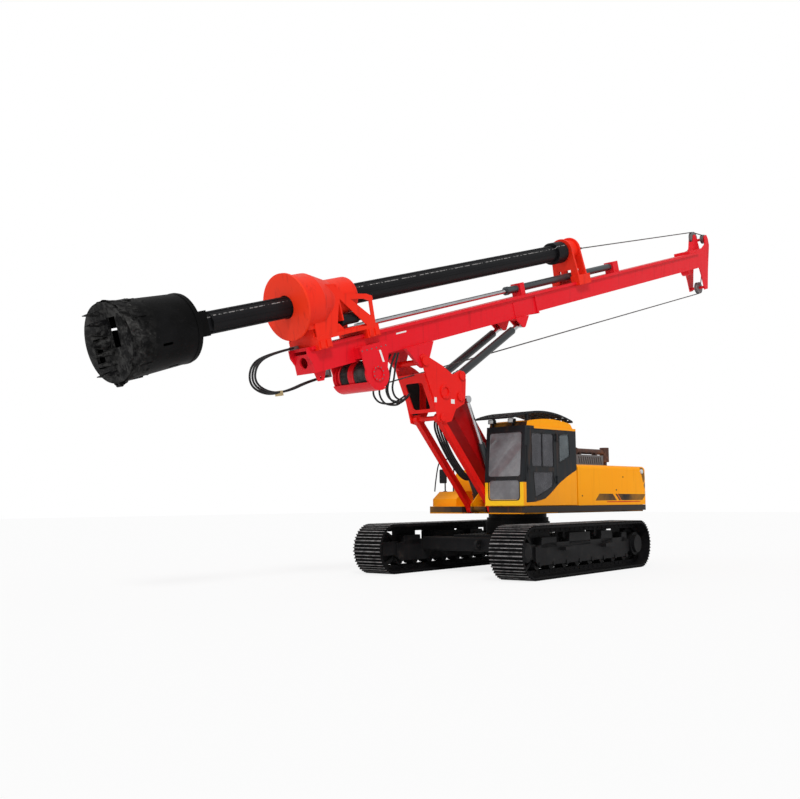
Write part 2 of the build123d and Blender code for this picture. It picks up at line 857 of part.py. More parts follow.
# Roof cap with pockets for the guard's posts, then the guard arched above it
cap_inset = 15
guard_posts = ((-45, cab_mid_y - 440), (-45, cab_mid_y + 440), (1355, cab_mid_y - 440), (1355, cab_mid_y + 440))
post_width = 50
with BuildPart() as roof_cap:
    with BuildSketch(side(body_half_width - cap_inset)):
        with BuildLine():
            cap_base = Polyline(
                (cab_front_x - 165, cab_roof_z + gap),
                (cab_rear_x + 90, cab_roof_z + gap),
                (cab_rear_x + 180, cab_roof_z + 100),
            )
            cap_top = ThreePointArc(
                cap_base @ 1,
                (cab_rear_x + 840, cab_roof_z + 170),
                (cab_front_x - 190, cab_roof_z + 90),
            )
            Line(cap_top @ 1, cap_base @ 0)
        make_face()
    extrude(amount=body_half_width - cab_inner_y - 2 * cap_inset)
    with BuildSketch(Plane.XY.offset(cab_roof_z)):
        with Locations(*guard_posts):
            Rectangle(post_width + 2 * gap, post_width + 2 * gap)
    extrude(amount=300, mode=Mode.SUBTRACT)
write(roof_cap, "cab_roof")

guard_bar = 40
guard_half_y = cab_mid_y - cab_inner_y - 12
guard_rear = (cab_rear_x + 80, cab_roof_z + 130)
guard_mid = (cab_rear_x + 1320, cab_roof_z + 290)
guard_front = (cab_front_x + 300, cab_roof_z + 125)
with BuildPart() as guard:
    with BuildSketch(side(cab_mid_y + guard_half_y)):
        with BuildLine():
            low_arc = ThreePointArc(guard_rear, guard_mid, guard_front)
            high_arc = ThreePointArc(
                (guard_rear[0], guard_rear[1] + guard_bar),
                (guard_mid[0], guard_mid[1] + guard_bar),
                (guard_front[0], guard_front[1] + guard_bar),
            )
            Line(low_arc @ 0, high_arc @ 0)
            Line(low_arc @ 1, high_arc @ 1)
        make_face()
    extrude(amount=2 * guard_half_y)
    with BuildSketch(Plane.XY.offset(cab_roof_z)):
        with Locations(((guard_rear[0] + guard_front[0]) / 2, cab_mid_y)):
            with GridLocations(174, 170, 12, 6):
                Rectangle(140, 135)
    extrude(amount=500, mode=Mode.SUBTRACT)
    for post_x, post_y in guard_posts:
        with BuildSketch(Plane.XY.offset(cab_roof_z + gap)):
            with Locations((post_x, post_y)):
                Rectangle(post_width, post_width)
        extrude(amount=190 if post_x < 0 else 285)
write(guard, "roof_guard")

with BuildPart() as work_lights:
    for y in (cab_mid_y - 370, cab_mid_y + 160):
        with BuildSketch(Plane.XY.offset(cab_roof_z + gap)):
            with Locations((cab_front_x - 135, y)):
                Rectangle(30, 40)
        extrude(amount=80)
        with BuildSketch(cross(cab_front_x - 150)):
            with Locations((y, cab_roof_z + 112)):
                RectangleRounded(150, 92, 20)
        extrude(amount=90)
        with BuildSketch(cross(cab_front_x - 60)):
            with Locations((y, cab_roof_z + 112)):
                RectangleRounded(128, 70, 12)
        extrude(amount=-12, mode=Mode.SUBTRACT)
write(work_lights, "work_lights")

# Boom: box with a wide head tube, parallel to the support rods
boom_depth = 480
head_hub_r = 130
foot_hub_r = 130
boom_len = span(boom_foot, boom_head)
boom_run = Vector(boom_head[0] - boom_foot[0], 0, boom_head[1] - boom_foot[1]).normalized()
boom_plane = Plane(origin=(boom_foot[0], 0, boom_foot[1]), x_dir=boom_run, z_dir=(0, -1, 0))
eye_along = (luff_eye[0] - boom_foot[0]) * boom_run.X + (luff_eye[1] - boom_foot[1]) * boom_run.Z
eye_above = (luff_eye[1] - boom_foot[1]) * boom_run.X - (luff_eye[0] - boom_foot[0]) * boom_run.Z
with BuildPart() as boom:
    with BuildSketch(boom_plane):
        with BuildLine():
            Polyline(
                (-20, -foot_hub_r),
                (300, -boom_depth / 2),
                (boom_len - 420, -boom_depth / 2),
                (boom_len - 40, -head_hub_r + 5),
                (boom_len, head_hub_r),
                (boom_len - 260, boom_depth / 2 + 60),
                (boom_len - 700, boom_depth / 2 + 20),
                (300, boom_depth / 2),
                (-20, foot_hub_r),
                close=True,
            )
        make_face()
        Circle(foot_hub_r)
        with Locations((boom_len, 0)):
            Circle(head_hub_r)
    extrude(amount=boom_half, both=True)
    with BuildSketch(boom_plane):
        with Locations((boom_len, 0)):
            Circle(head_hub_r)
    extrude(amount=triangle_out - triangle_plate - side_gap, both=True)
    with BuildSketch(boom_plane):
        with Locations((eye_along, eye_above)):
            Circle(85)
    extrude(amount=lane_y - 60 - side_gap, both=True)
    with BuildSketch(boom_plane):
        Circle(pin_r + run_fit)
        with Locations((boom_len, 0)):
            Circle(pin_r + run_fit)
    extrude(amount=triangle_out, both=True, mode=Mode.SUBTRACT)
write(boom, "boom")

# Support rods with an eye at each end
rod_len = span(rod_foot, rod_top)
rod_run = Vector(rod_top[0] - rod_foot[0], 0, rod_top[1] - rod_foot[1]).normalized()
eye_r = 95
with BuildPart() as support_rods:
    for y in (lane_y, -lane_y):
        rod_plane = Plane(origin=(rod_foot[0], y, rod_foot[1]), x_dir=rod_run, z_dir=(0, -1, 0))
        with BuildSketch(rod_plane):
            with Locations((rod_len / 2, 0)):
                Rectangle(rod_len, 130)
            with Locations((0, 0), (rod_len, 0)):
                Circle(eye_r)
            with Locations((0, 0), (rod_len, 0)):
                Circle(pin_r - 10 + run_fit, mode=Mode.SUBTRACT)
        extrude(amount=62, both=True)
write(support_rods, "support_rods")


def cylinder_pair(foot, eye, y, barrel_r, rod_r, gland, tail, eye_radius, eye_half, foot_bore):
    # barrels bored for their rods, and rods with plain eyes, on both sides
    length = span(foot, eye)
    run = Vector(eye[0] - foot[0], 0, eye[1] - foot[1]).normalized()
    with BuildPart() as barrels:
        for lane in (y, -y):
            with BuildSketch(link_plane(foot, eye, lane, 90)):
                Circle(barrel_r)
            extrude(amount=gland - 90)
            with BuildSketch(Plane(origin=(foot[0], lane, foot[1]), x_dir=run, z_dir=(0, -1, 0))):
                Circle(barrel_r + 10)
                with Locations((70, 0)):
                    Rectangle(140, 2 * barrel_r - 10)
            extrude(amount=eye_half, both=True)
            with BuildSketch(Plane(origin=(foot[0], lane, foot[1]), x_dir=run, z_dir=(0, -1, 0))):
                Circle(foot_bore)
            extrude(amount=eye_half + 10, both=True, mode=Mode.SUBTRACT)
            with BuildSketch(link_plane(foot, eye, lane, gland)):
                Circle(rod_r + run_fit)
            extrude(amount=-(gland - tail), mode=Mode.SUBTRACT)
    with BuildPart() as rods:
        for lane in (y, -y):
            with BuildSketch(link_plane(foot, eye, lane, length - eye_radius + 20)):
                Circle(rod_r)
            extrude(amount=-(length - eye_radius + 20 - gland + 160))
            with BuildSketch(Plane(origin=(eye[0], lane, eye[1]), x_dir=run, z_dir=(0, -1, 0))):
                Circle(eye_radius)
            extrude(amount=eye_half, both=True)
    return barrels, rods


luff_gland = 1300
luff_barrels, luff_rods = cylinder_pair(
    luff_foot, luff_eye, lane_y, 70, 42, luff_gland, 240, 78, 60, pin_r - 10 + run_fit
)
write(luff_barrels, "boom_cylinder_barrels")
write(luff_rods, "boom_cylinder_rods")

lift_eye_xz = mast_spot(lift_eye[0], lift_eye[1])
lift_top = (lift_eye_xz.X, lift_eye_xz.Z)
lift_gland = span(lift_foot, lift_top) - 360
lift_barrels, lift_rods = cylinder_pair(
    lift_foot, lift_top, lift_lane_y, 88, 55, lift_gland, 560, 90, 70, pin_r + run_fit
)
write(lift_barrels, "mast_cylinder_barrels")
write(lift_rods, "mast_cylinder_rods")

# Triangle frame: two side plates with an open front, cross tubes and bosses
plate_in = triangle_out - triangle_plate
with BuildPart() as triangle:
    with BuildSketch(side(triangle_out)):
        with BuildLine():
            Polyline(
                (mast_pivot[0] + 120, mast_pivot[1] + 80),
                (mast_pivot[0] + 30, mast_pivot[1] + 150),
                (2920, 4290),
                (2600, 4130),
                (lift_foot[0] + 60, lift_foot[1] + 110),
                (lift_foot[0] - 70, lift_foot[1] + 100),
                (lift_foot[0] - 130, lift_foot[1] - 60),
                (boom_head[0] - 170, boom_head[1] + 40),
                (boom_head[0] - 130, boom_head[1] - 140),
                (2520, 3420),
                (2660, 3160),
                (rod_top[0] - 60, rod_top[1] - 110),
                (rod_top[0] + 110, rod_top[1] - 80),
                (3180, 3570),
                (3400, 4020),
                close=True,
            )
        make_face()
    extrude(amount=triangle_plate)
    with BuildSketch(side(triangle_out)):
        with Locations((2850, 3760)):
            Circle(150)
            Circle(95, mode=Mode.SUBTRACT)
    extrude(amount=-25)
    mirror(about=middle)
    with BuildSketch(side(0)):
        with Locations(mast_pivot, boom_head, lift_foot):
            Circle(pin_r)
    extrude(amount=triangle_out + 20, both=True)
    with BuildSketch(side(0)):
        with Locations(rod_top):
            Circle(pin_r - 10)
    extrude(amount=triangle_out + 20, both=True)
    # front plate with its opening, between the side plates
    front_top = Vector(3460, 0, 4089)
    front_low = Vector(3090, 0, 3330)
    front_run = (front_top - front_low).normalized()
    front_len = (front_top - front_low).length
    front_plane = Plane(origin=front_low, x_dir=(0, 1, 0), z_dir=front_run.cross(Vector(0, 1, 0)) * -1)
    with BuildSketch(front_plane):
        with Locations((0, front_len / 2)):
            Rectangle(2 * plate_in + 2, front_len)
        with Locations((0, front_len / 2 - 60)):
            RectangleRounded(2 * plate_in - 260, front_len - 260, 60, mode=Mode.SUBTRACT)
    extrude(amount=-25)
write(triangle, "triangle_frame")

# Mast: box beam with guide rails, lower and upper section
rail_thick = 60
foot_plate = 40
foot_hole_r = 105
foot_hole_b = 542
bracket_top_b = 300
lug_plate = 30
lug_lane = 75


def mast_section(low_b):
    with Locations((0, (low_b + mast_high_b) / 2)):
        Rectangle(2 * mast_half, mast_high_b - low_b)
    with Locations((0, mast_high_b - rail_thick / 2)):
        Rectangle(2 * rail_out, rail_thick)


with BuildPart() as mast_low:
    with BuildSketch(mast_cut(mast_foot_a)):
        mast_section(mast_low_b)
    extrude(amount=mast_join_a - gap - mast_foot_a)
    # hollow foot behind an end plate with a round hole, open above the plate
    with BuildSketch(mast_cut(mast_foot_a + foot_plate)):
        with Locations((0, (mast_low_b + mast_high_b) / 2)):
            Rectangle(2 * mast_half - 60, mast_high_b - mast_low_b - 2 * rail_thick)
    extrude(amount=560, mode=Mode.SUBTRACT)
    with BuildSketch(mast_cut(mast_foot_a - 1)):
        with Locations((0, foot_hole_b)):
            Circle(foot_hole_r)
    extrude(amount=foot_plate + 2, mode=Mode.SUBTRACT)
    with BuildSketch(mast_cut(mast_foot_a - 1)):
        with Locations((0, mast_high_b - rail_thick - 30)):
            Rectangle(2 * mast_half - 90, 60)
    extrude(amount=foot_plate + 2, mode=Mode.SUBTRACT)
    # side cheeks that stand out in front of the end plate
    for y in (mast_half, -mast_half + 30):
        with BuildSketch(mast_side(y - 30)):
            with BuildLine():
                Polyline(
                    (mast_foot_a + 60, mast_low_b + 60),
                    (mast_foot_a + 60, mast_high_b),
                    (mast_foot_a - 80, mast_high_b),
                    (mast_foot_a - 80, mast_high_b - 150),
                    close=True,
                )
            make_face()
        extrude(amount=30)
    # lug under the foot
    with BuildSketch(mast_side(150)):
        with BuildLine():
            Polyline(
                (mast_foot_a + 60, mast_low_b + 2),
                (mast_foot_a + 110, 170),
                (mast_foot_a + 240, 160),
                (mast_foot_a + 330, mast_low_b + 2),
                close=True,
            )
        make_face()
        with Locations((mast_foot_a + 180, 225)):
            Circle(30, mode=Mode.SUBTRACT)
    extrude(amount=40)
    # pivot bracket
    with BuildSketch(mast_side(0)):
        with BuildLine():
            Polyline(
                (-420, mast_low_b + 2),
                (-130, -60),
                (0, -130),
                (130, -60),
                (420, mast_low_b + 2),
                close=True,
            )
        make_face()
        Circle(130)
    extrude(amount=plate_in - side_gap, both=True)
    with BuildSketch(mast_side(0)):
        with Locations((0, 60)):
            Rectangle(900, 560)
    extrude(amount=plate_in - side_gap - 80, both=True, mode=Mode.SUBTRACT)
    with BuildSketch(mast_side(0)):
        with Locations((0, (mast_low_b + bracket_top_b) / 2 + 4)):
            Rectangle(760, mast_low_b - bracket_top_b + 8)
    extrude(amount=plate_in - side_gap, both=True)
    with BuildSketch(mast_side(0)):
        Circle(pin_r + run_fit)
    extrude(amount=triangle_out, both=True, mode=Mode.SUBTRACT)
    # lugs of the mast cylinders: four plates under a common top plate
    with BuildSketch(mast_side(0)):
        with BuildLine():
            Polyline(
                (lift_eye[0] - 260, mast_low_b + 2),
                (lift_eye[0] - 90, lift_eye[1] - 40),
                (lift_eye[0] + 90, lift_eye[1] - 40),
                (lift_eye[0] + 260, mast_low_b + 2),
                close=True,
            )
        make_face()
        with Locations(lift_eye):
            Circle(95)
    extrude(amount=lift_lane_y + lug_lane + lug_plate, both=True)
    with BuildSketch(mast_side(0)):
        with Locations((lift_eye[0], mast_low_b - 170)):
            Rectangle(700, 340)
    extrude(amount=lift_lane_y - lug_lane - lug_plate, both=True, mode=Mode.SUBTRACT)
    for lane in (lift_lane_y, -lift_lane_y):
        with BuildSketch(mast_side(lane)):
            with Locations((lift_eye[0], bracket_top_b - 350)):
                Rectangle(700, 700)
        extrude(amount=lug_lane, both=True, mode=Mode.SUBTRACT)
    # doubling plates beside the lugs and joint flange at the section's end
    with BuildSketch(mast_side(0)):
        with Locations((lift_eye[0] + 200, (mast_low_b + 700) / 2)):
            Rectangle(620, 700 - mast_low_b)
    extrude(amount=mast_half + 14, both=True)
    with BuildSketch(mast_cut(mast_join_a - gap)):
        with Locations((0, (mast_low_b - 20 + 720) / 2)):
            Rectangle(2 * mast_half + 70, 720 - mast_low_b + 20)
    extrude(amount=-30)
write(mast_low, "mast_lower")

with BuildPart() as mast_high:
    with BuildSketch(mast_cut(mast_join_a)):
        mast_section(mast_low_b + 25)
    extrude(amount=mast_head_a - mast_join_a)
    with BuildSketch(mast_cut(mast_join_a)):
        with Locations((0, (mast_low_b - 20 + 720) / 2)):
            Rectangle(2 * mast_half + 70, 720 - mast_low_b + 20)
    extrude(amount=30)
    # round bracket under the head's end
    with BuildSketch(mast_side(0)):
        with Locations((mast_head_a - 330, mast_low_b + 20)):
            Circle(150)
    extrude(amount=120, both=True)
write(mast_high, "mast_upper")

# Mast head: side plates round a cross block, ears above, pulleys above and below
head_out = 250
head_plate = 30
head_rear_a = mast_head_a + 840
ear_plate = 25
pulley_pin_r = 40
pulley_half = 45
pulley_front = (mast_head_a + 400, 1245)
pulley_rear = (mast_head_a + 740, 1150)
pulley_low = (mast_head_a + 190, -230)
pulley_rear_y = head_out - head_plate - ear_plate - pulley_half - side_gap
with BuildPart() as head:
    with BuildSketch(mast_side(head_out - head_plate)):
        with BuildLine():
            Polyline(
                (mast_head_a + gap, mast_low_b),
                (mast_head_a + gap, mast_high_b + 60),
                (mast_head_a + 380, mast_high_b + 90),
                (mast_head_a + 600, 1000),
                (mast_head_a + 640, 1240),
                (mast_head_a + 780, 1260),
                (head_rear_a, 1130),
                (head_rear_a, 940),
                (mast_head_a + 500, 230),
                (mast_head_a + 280, -300),
                (mast_head_a + 90, -300),
                (mast_head_a + 60, 60),
                close=True,
            )
        make_face()
    extrude(amount=head_plate)
    mirror(about=middle)
    with BuildSketch(mast_side(0)):
        with BuildLine():
            Polyline(
                (mast_head_a + gap, mast_low_b + 60),
                (mast_head_a + gap, mast_high_b),
                (mast_head_a + 560, mast_high_b + 40),
                (mast_head_a + 620, 560),
                (mast_head_a + 480, mast_low_b + 60),
                close=True,
            )
        make_face()
    extrude(amount=head_out - 1, both=True)
    # fork of the front pulley and inner plate of the rear one
    with BuildSketch(mast_side(0)):
        with BuildLine():
            Polyline(
                (pulley_front[0] - 330, mast_high_b + 5),
                (pulley_front[0] - 90, pulley_front[1] + 60),
                (pulley_front[0] - 40, pulley_front[1] + 90),
                (pulley_front[0] + 40, pulley_front[1] + 90),
                (pulley_front[0] + 100, pulley_front[1] - 60),
                (pulley_front[0] + 170, mast_high_b + 5),
                close=True,
            )
        make_face()
    extrude(amount=pulley_half + side_gap + ear_plate, both=True)
    with BuildSketch(mast_side(0)):
        with Locations(pulley_front):
            Circle(190)
    extrude(amount=pulley_half + side_gap, both=True, mode=Mode.SUBTRACT)
    for spot, y, reach in (
        (pulley_front, 0, pulley_half + side_gap + ear_plate),
        (pulley_low, 0, head_out - 5),
        (pulley_rear, 0, head_out - 5),
    ):
        with BuildSketch(mast_side(y)):
            with Locations(spot):
                Circle(pulley_pin_r)
        extrude(amount=reach, both=True)
    # tread plate and its stop at the front of the head
    with BuildSketch(mast_side(0)):
        with Locations((mast_head_a - 215, mast_high_b + 40)):
            Rectangle(470, 80 - 2 * gap)
    extrude(amount=rail_out - 60, both=True)
write(head, "mast_head")


def make_pulley(name, spot, y, radius):
    with BuildPart() as pulley:
        with BuildSketch(mast_side(y)):
            with Locations(spot):
                Circle(radius - 22)
                Circle(pulley_pin_r + run_fit, mode=Mode.SUBTRACT)
        extrude(amount=pulley_half, both=True)
        for rim_y in (y - pulley_half, y + pulley_half - 20):
            with BuildSketch(mast_side(rim_y)):
                with Locations(spot):
                    Circle(radius)
                    Circle(pulley_pin_r + run_fit, mode=Mode.SUBTRACT)
            extrude(amount=20)
    write(pulley, name)


make_pulley("head_pulley_front", pulley_front, 0, 180)
make_pulley("head_pulley_rear", pulley_rear, pulley_rear_y, 130)
make_pulley("head_pulley_lower", pulley_low, 0, 170)

# Winch under the mast, its side plates seated on the mast's sides
drum_r = 245
flange_r = 288
winch_plate = 30
winch_top_b = 600
with BuildPart() as winch_frame:
    with BuildSketch(mast_side(winch_half)):
        with Locations(winch_spot):
            Circle(flange_r + 15)
        with BuildLine():
            Polyline(
                (winch_spot[0] - 270, winch_spot[1]),
                (winch_spot[0] - 330, winch_top_b - 60),
                (winch_spot[0] - 240, winch_top_b),
                (winch_spot[0] + 400, winch_top_b),
                (winch_spot[0] + 440, winch_top_b - 120),
                (winch_spot[0] + 270, winch_spot[1]),
                close=True,
            )
        make_face()
    extrude(amount=winch_plate)
    for start in (winch_spot[0] - 300, winch_spot[0] + 320):
        with BuildSketch(mast_cut(start)):
            with Locations((-(mast_half + gap + winch_half + 2) / 2, winch_top_b - 110)):
                Rectangle(winch_half + 2 - mast_half - gap, 200)
        extrude(amount=40)
    with BuildSketch(mast_face(winch_top_b - 30)):
        with Locations((winch_spot[0] + 30, -(mast_half + gap + winch_half + 2) / 2)):
            Rectangle(620, winch_half + 2 - mast_half - gap)
    extrude(amount=30)
    with BuildSketch(mast_side(winch_half + winch_plate)):
        with Locations(winch_spot):
            Circle(150)
            Circle(110, mode=Mode.SUBTRACT)
    extrude(amount=24)
    mirror(about=middle)
    with BuildSketch(mast_side(0)):
        with Locations(winch_spot):
            Circle(70)
    extrude(amount=winch_half + 4, both=True)
write(winch_frame, "winch_frame")

with BuildPart() as drum:
    with BuildSketch(mast_side(0)):
        with Locations(winch_spot):
            Circle(drum_r)
            Circle(70 + run_fit, mode=Mode.SUBTRACT)
    extrude(amount=winch_half - side_gap, both=True)
    for y in (-winch_half + side_gap, -winch_half + side_gap + 110, -15, winch_half - side_gap - 30):
        with BuildSketch(mast_side(y)):
            with Locations(winch_spot):
                Circle(flange_r)
                Circle(70 + run_fit, mode=Mode.SUBTRACT)
        extrude(amount=30)
write(drum, "winch_drum")

# Crowd cylinder along the mast's face
crowd_gland_a = 3590
crowd_rear_a = 8370
crowd_rod_a = -1000
crowd_r = 85
crowd_rod_r = 50
crowd_stroke = 4200
saddle_half = 130
saddle_top_b = crowd_axis_b + crowd_r + 30
with BuildPart() as crowd_barrel:
    with BuildSketch(mast_cut(crowd_gland_a, crowd_axis_b)):
        Circle(crowd_r)
    extrude(amount=crowd_rear_a - crowd_gland_a)
    with BuildSketch(mast_cut(crowd_gland_a, crowd_axis_b)):
        Circle(crowd_r + 12)
    extrude(amount=90)
    with BuildSketch(mast_cut(crowd_gland_a, crowd_axis_b)):
        Circle(crowd_rod_r + run_fit)
    extrude(amount=crowd_stroke + 400, mode=Mode.SUBTRACT)
write(crowd_barrel, "crowd_barrel")

with BuildPart() as crowd_mounts:
    for spot, length in ((crowd_gland_a + 410, 170), (crowd_rear_a - 200, 260)):
        with BuildSketch(mast_cut(spot)):
            with Locations((0, (mast_high_b + gap + saddle_top_b) / 2)):
                Rectangle(2 * saddle_half, saddle_top_b - mast_high_b - gap)
            with Locations((0, crowd_axis_b)):
                Circle(crowd_r + gap, mode=Mode.SUBTRACT)
        extrude(amount=length)
write(crowd_mounts, "crowd_mounts")

# Rotary drive: carriage on the rails, casing, disc, motors, rod of the crowd cylinder
drive_front_a = -2930
casing_mid_a = -1960
casing_end_a = -1380
front_r = 560
rear_r = 365
bore_r = rod_radius + side_gap
clamp_out = 400
clamp_low_b = 730
clamp_high_b = 970
clamp_length = 340
carriage_front_a = -2700
carriage_end_a = -1080
carriage_top_b = 1120
motor_b = 1165


def clamp_section():
    # bar across the mast whose ends hook round both guide rails
    with Locations((0, (clamp_low_b + clamp_high_b) / 2)):
        Rectangle(2 * clamp_out, clamp_high_b - clamp_low_b)
    with Locations((0, mast_high_b - rail_thick / 2)):
        Rectangle(2 * rail_out + 2 * gap, rail_thick + 2 * gap, mode=Mode.SUBTRACT)
    with Locations((0, mast_high_b - 130)):
        Rectangle(2 * (mast_half + 2 * side_gap), 200, mode=Mode.SUBTRACT)


with BuildPart() as carriage:
    for start in (carriage_front_a, carriage_end_a - clamp_length):
        with BuildSketch(mast_cut(start)):
            clamp_section()
        extrude(amount=clamp_length)
    with BuildSketch(mast_side(0)):
        with BuildLine():
            Polyline(
                (carriage_front_a, clamp_high_b - 30),
                (carriage_front_a, carriage_top_b),
                (casing_mid_a - 60, carriage_top_b),
                (casing_mid_a + 40, clamp_high_b + 30),
                (carriage_end_a, clamp_high_b + 30),
                (carriage_end_a, clamp_high_b - 30),
                close=True,
            )
        make_face()
    extrude(amount=330, both=True)
    for y in (clamp_out - 70, -clamp_out):
        with BuildSketch(mast_side(y)):
            with Locations(((carriage_front_a + carriage_end_a) / 2, clamp_high_b - 35)):
                Rectangle(carriage_end_a - carriage_front_a, 70)
        extrude(amount=70)
    # hook pads and bolted keepers on the clamps' outer ends
    for start in (carriage_front_a, carriage_end_a - clamp_length):
        for step in (40, 200):
            with BuildSketch(mast_cut(start + step)):
                with Locations((0, clamp_low_b + 90)):
                    Rectangle(2 * clamp_out + 50, 130)
                with Locations((0, clamp_low_b + 90)):
                    Rectangle(2 * clamp_out - 20, 140, mode=Mode.SUBTRACT)
            extrude(amount=100)
    with BuildSketch(mast_cut(carriage_end_a - 220, crowd_axis_b)):
        Rectangle(2 * crowd_r + 40, 2 * crowd_r + 120)
    extrude(amount=400, mode=Mode.SUBTRACT)
write(carriage, "drive_carriage")

with BuildPart() as casing:
    with BuildSketch(mast_cut(drive_front_a + 45, rod_axis_b)):
        Circle(front_r - 60)
    extrude(amount=40)
    with BuildSketch(mast_cut(drive_front_a + 85, rod_axis_b)):
        Circle(front_r)
        with Locations((0, (carriage_top_b - rod_axis_b) / 2)):
            Rectangle(2 * (clamp_out - 20), rod_axis_b - carriage_top_b - 2 * gap)
    extrude(amount=400)
    with BuildSketch(mast_cut(drive_front_a + 485, rod_axis_b)):
        Circle(front_r)
    with BuildSketch(mast_cut(casing_mid_a, rod_axis_b)):
        Circle(rear_r)
    loft()
    with BuildSketch(mast_cut(casing_mid_a, rod_axis_b)):
        Circle(rear_r)
    extrude(amount=casing_end_a - casing_mid_a)
    fillet(casing.edges().filter_by(GeomType.CIRCLE).sort_by(Axis.X)[0], 70)
    # flat underside on the carriage
    with BuildSketch(mast_side(0)):
        with Locations(((drive_front_a + casing_end_a) / 2, carriage_top_b + gap - 200)):
            Rectangle(casing_end_a - drive_front_a, 400)
    extrude(amount=front_r, both=True, mode=Mode.SUBTRACT)
    # side plates with their diagonal struts, arms and posts
    for y in (clamp_out - 20, -clamp_out):
        with BuildSketch(mast_side(y)) as frame_side:
            with BuildLine():
                Polyline(
                    (-2460, 1900),
                    (-2000, 1850),
                    (-1960, 1560),
                    (-2180, clamp_high_b + gap),
                    (-2690, clamp_high_b + gap),
                    (-2690, 1150),
                    close=True,
                )
            make_face()
            with BuildLine():
                Polyline(
                    (-2080, 1840),
                    (-1990, 1800),
                    (-1150, clamp_high_b + 90),
                    (-1150, clamp_high_b + gap),
                    (-1380, clamp_high_b + gap),
                    (-2110, 1730),
                    close=True,
                )
            make_face()
            with BuildLine():
                Polyline(
                    (-1830, 1540),
                    (-1790, 1640),
                    (-1240, 1560),
                    (-1090, 1500),
                    (-1090, 1420),
                    (-1230, 1430),
                    (-1340, 1480),
                    close=True,
                )
            make_face()
            with BuildLine():
                Polyline(
                    (-1200, 1470),
                    (-1110, 1460),
                    (-1150, clamp_high_b + gap),
                    (-1240, clamp_high_b + gap),
                    close=True,
                )
            make_face()
        extrude(amount=20)
    # cross plates that tie the side plates to the casing
    for start in (-2360, casing_mid_a - 20):
        with BuildSketch(mast_cut(start)):
            with Locations((0, (1840 + rod_axis_b - 120) / 2)):
                Rectangle(2 * clamp_out, 1840 - rod_axis_b + 120)
        extrude(amount=30)
    with BuildSketch(mast_cut(casing_mid_a - 20)):
        with Locations((0, (carriage_top_b + rod_axis_b) / 2 + 40)):
            Rectangle(2 * clamp_out, rod_axis_b - carriage_top_b)
    extrude(amount=30)
    with BuildSketch(mast_cut(drive_front_a, rod_axis_b)):
        Circle(bore_r)
    extrude(amount=casing_end_a - drive_front_a + 100, mode=Mode.SUBTRACT)
write(casing, "rotary_casing")

with BuildPart() as disc:
    with BuildSketch(mast_cut(drive_front_a, rod_axis_b)):
        Circle(620)
        Circle(bore_r, mode=Mode.SUBTRACT)
    extrude(amount=45 - gap)
write(disc, "spoil_disc")

with BuildPart() as motors:
    for y in (235, -235):
        with BuildSketch(mast_cut(casing_mid_a + 10 + gap, motor_b, y)):
            Circle(125)
        extrude(amount=60)
        with BuildSketch(mast_cut(casing_mid_a + 70 + gap, motor_b, y)):
            Circle(105)
        extrude(amount=420)
        with BuildSketch(mast_cut(casing_mid_a + 490 + gap, motor_b, y)):
            RectangleRounded(170, 150, 20)
        extrude(amount=90)
write(motors, "drive_motors")

with BuildPart() as crowd_rod:
    with BuildSketch(mast_cut(crowd_rod_a, crowd_axis_b)):
        Circle(crowd_rod_r)
    extrude(amount=crowd_gland_a - crowd_rod_a + 200)
    with BuildSketch(mast_cut(crowd_rod_a - 60, crowd_axis_b)):
        Circle(80)
    extrude(amount=140)
    with BuildSketch(mast_cut(carriage_end_a - 219, crowd_axis_b)):
        Circle(60)
    extrude(amount=crowd_rod_a - carriage_end_a + 220)
write(crowd_rod, "crowd_rod")

# Drill rod with drive ribs, collar at the top and square stub at the bottom
rod_low_a = -4700
rod_high_a = 6620
collar_a = 5660
guide_a = 6060
collar_r = 265
neck_r = 190
stub_length = 510
rib_count = 6
with BuildPart() as drill_rod:
    with BuildSketch(mast_cut(rod_low_a, rod_axis_b)):
        Circle(rod_radius - 12)
        with PolarLocations(rod_radius - 16, rib_count):
            Rectangle(30, 34)
    extrude(amount=collar_a - rod_low_a)
    with BuildSketch(mast_cut(collar_a, rod_axis_b)):
        Circle(collar_r)
    extrude(amount=guide_a - side_gap - collar_a)
    with BuildSketch(mast_cut(guide_a - side_gap, rod_axis_b)):
        Circle(neck_r)
    extrude(amount=rod_high_a - guide_a + side_gap)
    with BuildSketch(mast_cut(rod_low_a - stub_length, rod_axis_b)):
        Rectangle(280, 280)
    extrude(amount=stub_length)
    # rope swivel on the rod's top
    with BuildSketch(mast_cut(rod_high_a, rod_axis_b)):
        Circle(85)
    extrude(amount=90)
    with BuildSketch(mast_side(0)):
        with Locations((rod_high_a + 120, rod_axis_b)):
            SlotOverall(170, 110)
        with Locations((rod_high_a + 150, rod_axis_b)):
            Circle(28, mode=Mode.SUBTRACT)
    extrude(amount=30, both=True)
write(drill_rod, "drill_rod")

